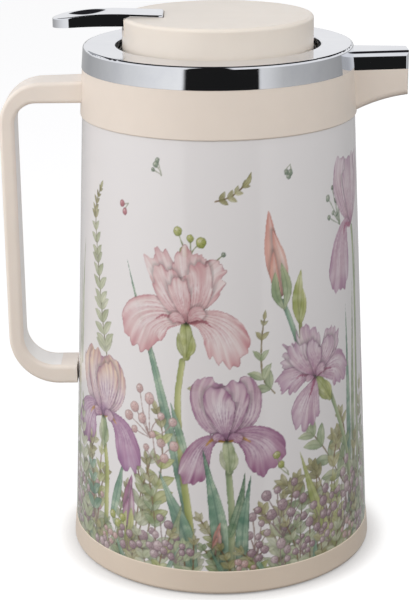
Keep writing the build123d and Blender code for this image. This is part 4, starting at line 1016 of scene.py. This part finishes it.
def silvered(name):
    """Silvered glass: bright, faintly warm, with drips and pinholes."""
    f = Finish(name)
    drip = f.noise(scale=1.0, detail=3, rough=0.6, stretch=(0.11, 0.11, 0.02))
    pinhole = f.noise(scale=1.6, detail=1)
    c = f.mix(f.remap(drip, 0.35, 0.72), lin(226, 226, 222), lin(206, 203, 196))
    f.put("Base Color", f.mix(f.remap(pinhole, 0.74, 0.80), c, lin(120, 116, 108)))
    f.put("Metallic", 0.96)
    f.put("Roughness", f.remap(drip, 0.3, 0.75, 0.05, 0.16))
    f.put("Coat Weight", 1.0)
    f.put("Coat Roughness", 0.02)
    f.put("Normal", f.bump(f.noise(scale=0.07), depth_mm=0.05))
    return f.material


def elastic(name, colour, rough, grain, sheen=0.0, sss=0.0):
    """Rubber or silicone with clouded colour and a little dust."""
    f = Finish(name)
    base = lin(*colour)
    cloud = f.remap(f.noise(scale=0.2, detail=3, rough=0.6), 0.3, 0.7)
    c = f.mix(cloud, scaled(base, 0.86), scaled(base, 1.1, 0.004))
    dust = f.remap(f.noise(scale=2.2, detail=3, rough=0.7), 0.60, 0.78, to_high=0.16)
    f.put("Base Color", f.mix(dust, c, scaled(base, 1, 0.05)))
    smear = f.noise(scale=0.5, detail=3, rough=0.6)
    f.put("Roughness", f.remap(smear, 0.3, 0.7, rough - 0.06, rough + 0.06))
    if sheen:
        f.put("Sheen Weight", sheen)
        f.put("Sheen Roughness", 0.5)
    if sss:
        f.subsurface(sss, radius=(1.0, 0.9, 0.8), scale=0.002)
    f.put("Normal", f.bump(f.noise(scale=2.6, detail=3, rough=0.6), grain))
    return f.material


def felted(name):
    f = Finish(name)
    fibre = f.noise(scale=2.2, detail=4, rough=0.7, stretch=(1, 3, 1))
    f.put("Base Color", f.mix(f.remap(fibre, 0.35, 0.65), lin(150, 146, 138),
                              lin(196, 192, 184)))
    f.put("Roughness", 0.95)
    f.put("Sheen Weight", 0.6)
    f.put("Normal", f.bump(fibre, depth_mm=0.12))
    return f.material


def brushed(name):
    """Steel brushed round the jug's axis."""
    f = Finish(name)
    brush = f.noise(scale=1.0, detail=4, rough=0.7, vector=f.spin(), stretch=(0.4, 8.0, 8.0))
    f.put("Base Color", f.mix(f.remap(brush, 0.3, 0.7), lin(176, 176, 174), lin(208, 208, 206)))
    f.put("Metallic", 1.0)
    f.put("Roughness", f.remap(brush, 0.3, 0.7, 0.20, 0.36))
    f.put("Normal", f.bump(brush, depth_mm=0.004))
    return f.material


def printed(name):
    """White lacquered steel with the print under a satin clear coat."""
    f = Finish(name)
    picture = f.node("VertexColor", layer_name="print").outputs["Color"]
    cover = f.node("Attribute", attribute_name="ink").outputs["Fac"]
    cloud = f.noise(scale=0.03, detail=3, rough=0.6)
    tone = f.mix(f.remap(cloud, 0.3, 0.7), (0.985, 0.985, 0.985), (1.0, 1.0, 1.0))
    c = f.mix(1.0, picture, tone, "MULTIPLY")
    f.put("Base Color", f.mix(1.0, c, lin(236, 234, 234), "MULTIPLY"))
    smear = f.remap(f.noise(scale=0.12, detail=3, rough=0.6), 0.3, 0.7, 0.40, 0.47)
    f.put("Roughness", f.math("ADD", smear, f.math("MULTIPLY", cover, 0.05)))
    f.put("Specular IOR Level", 0.35)
    f.put("Coat Weight", 0.9)
    f.put("Coat Roughness", f.remap(f.noise(scale=0.2), 0.3, 0.7, 0.09, 0.13))
    f.put("Coat IOR", 1.5)
    film = f.bump(cover, depth_mm=0.010)
    f.put("Normal", f.bump(f.noise(scale=0.42), depth_mm=0.010, under=film))
    f.put("Coat Normal", f.bump(f.noise(scale=0.42), depth_mm=0.012))
    return f.material


CREAM = moulded("cream_plastic", (233, 222, 211))
KNOB = moulded("knob_plastic", (240, 231, 220))
# painted shade: the base ring is the cream plastic made darker, standing in for the light falling
# off towards the foot
FOOT_SHADED_CREAM = moulded("base_ring_shaded_cream", (227, 212, 195))
# painted light: the handle's outside is the cream plastic made lighter, standing in for the panel
# light from the left
HANDLE_LIT_CREAM = moulded("handle_lit_cream", (244, 234, 224))
# painted reflection: the inside of the handle is the same cream plastic made near white, standing
# in for the bright backdrop it reflects
HANDLE_INSIDE_SHEEN = moulded("handle_inside_painted_sheen", (251, 249, 246), rough=0.34, coat=0.25)
WHITE = moulded("white_plastic", (226, 224, 218), rough=0.42, coat=0, grain=0.006, sss=0.05)
CHROME = chrome("bright_chrome")
GLASS = silvered("silvered_glass")
SILICONE = elastic("silicone", (222, 220, 212), rough=0.48, grain=0.006, sss=0.15)
RUBBER = elastic("black_rubber", (38, 37, 36), rough=0.72, grain=0.03, sheen=0.1)
FELT = felted("felt")
STEEL = brushed("stainless")
PRINT = printed("printed_steel")

FINISHES = dict(
    base_ring=FOOT_SHADED_CREAM, base_plug=CREAM, foot_ring=RUBBER, refill_cushion=RUBBER, glass_outer=GLASS,
    glass_inner=GLASS, glass_spacer_pads=FELT, neck_gasket=SILICONE, shoulder_collar=CREAM,
    pour_liner=WHITE, chrome_bezel=CHROME, handle_outer=HANDLE_LIT_CREAM, handle_inner=HANDLE_INSIDE_SHEEN,
    handle_anchor=STEEL, handle_screws=STEEL, stopper_body=WHITE, stopper_knob=KNOB,
    stopper_screws=STEEL, stopper_seal=SILICONE, thumb_lever=CHROME, lever_pin=STEEL,
    valve_stem=STEEL, valve_disc=WHITE, valve_seal=SILICONE, stem_nut=STEEL, valve_spring=STEEL,
    outer_shell=PRINT)
for node_name, finish in FINISHES.items():
    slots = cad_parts[node_name].data.materials
    slots.clear()
    slots.append(finish)


# ---------------------------------------------------------------- camera
CAMERA_PLACE = (-0.007240, -0.774818, 0.375583)
CAMERA_PITCH = math.radians(18.3172)     # looking down
CAMERA_ROLL = -0.00985
CAMERA_LENS = 102.768                    # mm


def make_camera():
    forward = Vector((0, math.cos(CAMERA_PITCH), -math.sin(CAMERA_PITCH)))
    right = Vector((1, 0, 0))
    up = right.cross(forward)
    cos, sin = math.cos(CAMERA_ROLL), math.sin(CAMERA_ROLL)
    axes = Matrix((cos * right + sin * up, -sin * right + cos * up, -forward))
    matrix = axes.transposed().to_4x4()
    matrix.translation = CAMERA_PLACE
    camera = add_object("camera", bpy.data.cameras.new("camera"))
    camera.matrix_world = matrix
    camera.data.sensor_width = 36.0
    camera.data.sensor_fit = "AUTO"
    camera.data.lens = CAMERA_LENS
    camera.data.clip_start, camera.data.clip_end = 0.05, 60
    bpy.context.scene.camera = camera


# ---------------------------------------------------------------- floor
FLOOR_HALF = 4.0
FLOOR_ALBEDO, FLOOR_GRAIN = 0.68, 0.01     # as the camera sees it
BOUNCE_LEFT, BOUNCE_RIGHT = 0.50, 0.06     # what other rays see, dimmer towards the right
BOUNCE_REACH = 0.25
BOUNCE_WARMTH = (0.0, 0.10, 0.20)          # taken from red, green and blue
GLOW, GLOW_RISE = 0.47, 0.16               # for the camera only, rising towards the right
GLOW_FROM, GLOW_TO = -0.08, 0.30
CONTACT = 0.42                             # share of the glow left at the foot
CONTACT_INNER, CONTACT_OUTER = 0.0725, 0.0835


def floor_paper():
    material = bpy.data.materials.new("floor_paper")
    material.use_nodes = True
    g = Graph(material.node_tree)
    g.nodes.clear()
    place = g.node("TexCoord").outputs["Object"]
    x = g.node("SeparateXYZ", {0: place}).outputs[0]
    bounce = g.remap(x, -BOUNCE_REACH, BOUNCE_REACH, BOUNCE_LEFT, BOUNCE_RIGHT)
    paper = g.node("Math", {0: g.noise(scale=6.0), 1: FLOOR_GRAIN, 2: FLOOR_ALBEDO},
                   operation="MULTIPLY_ADD").outputs[0]
    seen = g.node("LightPath").outputs["Is Camera Ray"]
    albedo = g.node("Mix", {"Factor": seen, 2: bounce, 3: paper}, data_type="FLOAT").outputs[0]
    channels = {k: g.math("MULTIPLY", albedo, g.remap(seen, 0, 1, 1 - less, 1.0))
                for k, less in enumerate(BOUNCE_WARMTH)}
    colour = g.node("CombineColor", channels).outputs[0]
    diffuse = g.node("BsdfDiffuse", {"Color": colour}).outputs[0]
    glow = g.remap(x, GLOW_FROM, GLOW_TO, GLOW, GLOW + GLOW_RISE)
    # a soft contact shadow hugs the foot, where the glow fades
    radius = g.node("VectorMath", {0: place}, operation="LENGTH").outputs["Value"]
    near = g.remap(radius, CONTACT_INNER, CONTACT_OUTER, CONTACT, 1.0, ease="SMOOTHSTEP")
    strength = g.math("MULTIPLY", seen, g.math("MULTIPLY", glow, near))
    emission = g.node("Emission", {"Strength": strength}).outputs[0]
    both = g.node("AddShader", {0: diffuse, 1: emission}).outputs[0]
    g.node("OutputMaterial", {"Surface": both})
    return material


def make_floor():
    mesh = bpy.data.meshes.new("floor")
    s = FLOOR_HALF
    mesh.from_pydata([(-s, -s, 0), (s, -s, 0), (s, s, 0), (-s, s, 0)], [], [(0, 1, 2, 3)])
    floor = add_object("floor", mesh)
    mesh.materials.append(floor_paper())
    floor.visible_glossy = False


# ---------------------------------------------------------------- world
# Azimuths are degrees from the front, right positive.
# Brightness round the horizon, as shiny surfaces see it: black card in front, panels beside
PANELS = [(-180, 0.50), (-156, 0.43), (-138, 0.40), (-120, 0.46), (-107, 0.53), (-95, 0.60),
          (-83, 0.69), (-70, 0.76), (-58, 0.83), (-30, 0.89), (-27.4, 0.012), (32.6, 0.012),
          (34.0, 0.76), (42, 0.68), (54.7, 0.50), (67, 0.47), (80, 0.45), (92, 0.40),
          (116, 0.345), (129, 0.30), (145, 0.40), (180, 0.50)]
# Where the front card goes on above the horizon: azimuth, share
TALL_CARD = [(-27.5, 0.0), (-25.0, 1.0), (9.0, 1.0), (13.0, 0.0)]
CEILING = 0.87
CEILING_FROM, CEILING_TO = 0.015, 0.10     # z of the ray where the ceiling fades in
# a round dark patch high up behind: its direction and the cosines where it fades in
PATCH_Y, PATCH_Z = 0.407, 0.9135
PATCH_FROM, PATCH_TO = 0.71, 0.77
PATCH_COLOUR = (0.018, 0.017, 0.02)
# the soft room that matt surfaces see, brighter from the left and from behind
ROOM, ROOM_X, ROOM_Z, ROOM_Y = 0.70, -0.33, -0.02, 0.20
ROOM_LEAST, ROOM_BLUE = 0.02, 1.02


def make_world():
    """White for the eye, a soft room for matt surfaces, cards and panels for shiny ones."""
    world = bpy.data.worlds.new("studio")
    bpy.context.scene.world = world
    world.use_nodes = True
    world.cycles.sampling_method = "NONE"
    g = Graph(world.node_tree)
    g.nodes.clear()
    x, y, z = g.node("SeparateXYZ", {0: g.node("TexCoord").outputs["Generated"]}).outputs
    azimuth = g.math("ARCTAN2", x, g.math("MULTIPLY", y, -1.0))
    turn = g.math("ADD", g.math("MULTIPLY", azimuth, 0.5 / math.pi), 0.5)

    def round_about(stops):
        """Grey levels by azimuth."""
        ramp = g.node("ValToRGB", {0: turn})
        elements = ramp.color_ramp.elements
        while len(elements) > 1:
            elements.remove(elements[-1])
        for k, (degrees, level) in enumerate(stops):
            position = (degrees + 180) / 360
            stop = elements.new(position) if k else elements[0]
            stop.position = position
            stop.color = (level, level, level, 1)
        return ramp.outputs[0]

    panels = round_about(PANELS)
    high = g.remap(z, CEILING_FROM, CEILING_TO, ease="SMOOTHSTEP")
    open_sky = g.math("SUBTRACT", 1.0, round_about(TALL_CARD))
    shiny = g.mix(g.math("MULTIPLY", high, open_sky), panels, (CEILING, CEILING, CEILING * 1.01))
    facing = g.math("ADD", g.math("MULTIPLY", z, PATCH_Z), g.math("MULTIPLY", y, PATCH_Y))
    patch = g.remap(facing, PATCH_FROM, PATCH_TO, ease="SMOOTHSTEP")
    shiny = g.mix(patch, shiny, PATCH_COLOUR)

    level = g.math("ADD", g.math("MULTIPLY", x, ROOM_X), ROOM)
    level = g.math("ADD", g.math("MULTIPLY", z, ROOM_Z), level)
    level = g.math("ADD", g.math("MULTIPLY", y, ROOM_Y), level)
    level = g.math("MAXIMUM", level, ROOM_LEAST)
    matt = g.node("CombineColor", {0: g.math("MULTIPLY", level, 1.0), 1: level,
                                   2: g.math("MULTIPLY", level, ROOM_BLUE)}).outputs[0]
    # a mirror seen by a matt surface passes on the soft room, not the cards
    ray = g.node("LightPath").outputs
    first = g.math("SUBTRACT", 1.0, ray["Diffuse Depth"], clamp=True)
    room = g.mix(g.math("MULTIPLY", ray["Is Glossy Ray"], first), matt, shiny)
    seen = g.mix(ray["Is Camera Ray"], room, (1, 1, 1))
    background = g.node("Background", {"Color": seen}).outputs[0]
    g.node("OutputWorld", {"Surface": background})


# ---------------------------------------------------------------- lamps
# name, place, aim, width and height, watts, colour
LAMPS = [
    ("soft_panel", (-1.15, -1.0, 1.35), (0, 0, 0.12), (1.4, 1.0), 5.0, (1.0, 0.985, 0.965)),
    ("near_panel", (0.12, -0.50, 0.44), (0, 0, 0.24), (0.34, 0.24), 0.70, (1.0, 0.985, 0.965)),
    ("left_panel", (-0.62, -0.24, 0.42), (0, 0, 0.20), (0.30, 0.30), 0.92, (1.0, 0.985, 0.97)),
    ("right_panel", (0.60, -0.26, 0.44), (0, 0, 0.23), (0.24, 0.24), 0.98, (1.0, 0.985, 0.97)),
]


def make_lamp(name, place, aim, size, watts, colour):
    """A soft rectangular panel, unseen by mirrors."""
    light = bpy.data.lights.new(name, "AREA")
    light.shape = "RECTANGLE"
    light.size, light.size_y = size
    light.energy = watts
    light.color = colour
    lamp = add_object(name, light)
    lamp.location = place
    lamp.rotation_euler = (Vector(aim) - Vector(place)).to_track_quat("-Z", "Y").to_euler()
    lamp.visible_glossy = False


make_camera()
make_floor()
make_world()
draw(make_lamp, LAMPS)
view = bpy.context.scene.view_settings
view.view_transform = "Standard"
view.look = "None"


# ---------------------------------------------------------------- the printed shell
SHELL_LOW, SHELL_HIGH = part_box("outer_shell")
SHELL_FOOT, SHELL_TOP = SHELL_LOW.z * 1000, SHELL_HIGH.z * 1000
FOOT_RADIUS = SHELL_HIGH.x * 1000                 # outside
SHELL_TAPER = (62.6 - 71.27) / (210.8 - 12.0)     # change of radius with height
SHELL_WALL = 0.8
INSIDE_ROWS = 24
INSIDE_GREY = 0.42


def tube(z, angles, inset=0.0):
    """Rings of points on the tapered wall, one ring for each height."""
    radius = (FOOT_RADIUS + SHELL_TAPER * (z - SHELL_FOOT) - inset)[:, None]
    return np.stack([radius * np.cos(angles), radius * np.sin(angles),
                     z[:, None] + 0 * angles], axis=-1)


def make_shell():
    """A closed tapered tube whose outside carries the print as a colour on each point."""
    around = SHEET.columns
    # u = 0 faces the front, -Y
    angles = (np.arange(around) * SHEET.du - GIRTH / 2) / MEAN_RADIUS - math.pi / 2
    z = np.concatenate([[SHELL_FOOT], np.arange(SHEET.rows) * SHEET.dz + PRINT_FOOT])
    z = z[(z >= SHELL_FOOT - 1e-6) & (z <= SHELL_TOP + 1e-6)]
    if z[1] - z[0] < 1e-4:
        z = z[1:]
    if SHELL_TOP - z[-1] > 0.02:
        z = np.append(z, SHELL_TOP)
    rows = len(z)
    # the inside has fewer rows but as many columns, so that the ends join
    inside = tube(np.linspace(SHELL_TOP, SHELL_FOOT, INSIDE_ROWS), angles, SHELL_WALL)
    points = np.concatenate([tube(z, angles), inside]).reshape(-1, 3) * MM
    total = rows + INSIDE_ROWS
    ring = np.arange(total)[:, None] * around
    next_ring = ((np.arange(total) + 1) % total)[:, None] * around
    i = np.arange(around)[None, :]
    j = (i + 1) % around
    quads = np.stack([ring + i, ring + j, next_ring + j, next_ring + i], axis=-1).reshape(-1, 4)

    mesh = bpy.data.meshes.new("shell_print")
    mesh.vertices.add(len(points))
    mesh.vertices.foreach_set("co", points.astype(np.float32).ravel())
    mesh.loops.add(len(quads) * 4)
    mesh.polygons.add(len(quads))
    mesh.loops.foreach_set("vertex_index", quads.astype(np.int32).ravel())
    mesh.polygons.foreach_set("loop_start", (np.arange(len(quads)) * 4).astype(np.int32))
    mesh.polygons.foreach_set("use_smooth", np.ones(len(quads), bool))
    mesh.update(calc_edges=True)

    sheet_row = np.clip((z - PRINT_FOOT) / SHEET.dz, 0, SHEET.rows - 1)
    low = np.floor(sheet_row).astype(int)
    high = np.minimum(low + 1, SHEET.rows - 1)
    share = (sheet_row - low)[:, None, None]
    image = srgb_to_linear(SHEET.rgb)
    colour = np.ones((total, around, 4), np.float32)
    colour[:rows, :, :3] = image[low] * (1 - share) + image[high] * share
    colour[rows:, :, :3] = INSIDE_GREY
    attribute = mesh.color_attributes.new("print", "FLOAT_COLOR", "POINT")
    attribute.data.foreach_set("color", colour.ravel())
    cover = np.zeros((total, around), np.float32)
    cover[:rows] = SHEET.cover[low]
    attribute = mesh.attributes.new("ink", "FLOAT", "POINT")
    attribute.data.foreach_set("value", cover.ravel())

    # the rings at the top and foot are sharp
    if "sharp_edge" not in mesh.attributes:
        mesh.attributes.new("sharp_edge", "BOOLEAN", "EDGE")
    ends = np.empty(len(mesh.edges) * 2, np.int32)
    mesh.edges.foreach_get("vertices", ends)
    ends = ends.reshape(-1, 2) // around
    sharp = (ends[:, 0] == ends[:, 1]) & np.isin(ends[:, 0], [0, rows - 1, rows, total - 1])
    mesh.attributes["sharp_edge"].data.foreach_set("value", sharp)
    mesh.validate()
    shell = add_object("shell_print", mesh)
    mesh.materials.append(PRINT)
    return shell


paint_sheet()
shell = make_shell()
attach(shell, "root")
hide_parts("outer_shell")


# ---------------------------------------------------------------- the valve spring
WIRE_RADIUS = 0.45
TURNS, STEPS_PER_TURN, WIRE_SIDES = 6.5, 40, 12
CLOSED_TURNS = 0.9      # at each end
CLOSED_RISE = 0.06      # share of the height that rises evenly, closed coils included


def make_spring():
    """The valve's coil as a round wire."""
    low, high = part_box("valve_spring")
    mean = (high.x - low.x) / 2 * 1000 - WIRE_RADIUS
    z_low, z_high = low.z * 1000 + WIRE_RADIUS, high.z * 1000 - WIRE_RADIUS
    steps, sides = int(TURNS * STEPS_PER_TURN), WIRE_SIDES
    t = np.linspace(0, 1, steps + 1)
    angle = 2 * math.pi * TURNS * t
    rise = np.clip((t * TURNS - CLOSED_TURNS) / (TURNS - 2 * CLOSED_TURNS), 0, 1)
    z = z_low + (z_high - z_low) * (CLOSED_RISE * t + (1 - CLOSED_RISE) * rise)
    centre = np.stack([mean * np.cos(angle), mean * np.sin(angle), z], 1)
    heading = np.gradient(centre, axis=0)
    heading /= np.linalg.norm(heading, axis=1)[:, None]
    out = np.stack([np.cos(angle), np.sin(angle), 0 * angle], 1)
    side = np.cross(heading, out)
    side /= np.linalg.norm(side, axis=1)[:, None]
    out = np.cross(side, heading)
    rails = []
    for k in range(sides):
        a = 2 * math.pi * k / sides
        rails.append(centre + WIRE_RADIUS * (math.cos(a) * out + math.sin(a) * side))
    points = np.stack(rails, 1).reshape(-1, 3) * MM
    faces = []
    for i in range(steps):
        for k in range(sides):
            a, b = i * sides + k, i * sides + (k + 1) % sides
            faces.append((a, b, b + sides, a + sides))
    faces.append(tuple(range(sides))[::-1])
    faces.append(tuple(steps * sides + k for k in range(sides)))
    mesh = bpy.data.meshes.new("valve_coil")
    mesh.from_pydata(points.tolist(), [], faces)
    mesh.polygons.foreach_set("use_smooth", [len(p.vertices) == 4 for p in mesh.polygons])
    mesh.update()
    coil = add_object("valve_coil", mesh)
    mesh.materials.append(STEEL)
    return coil


coil = make_spring()
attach(coil, "stopper")
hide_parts("valve_spring")
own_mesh(coil)
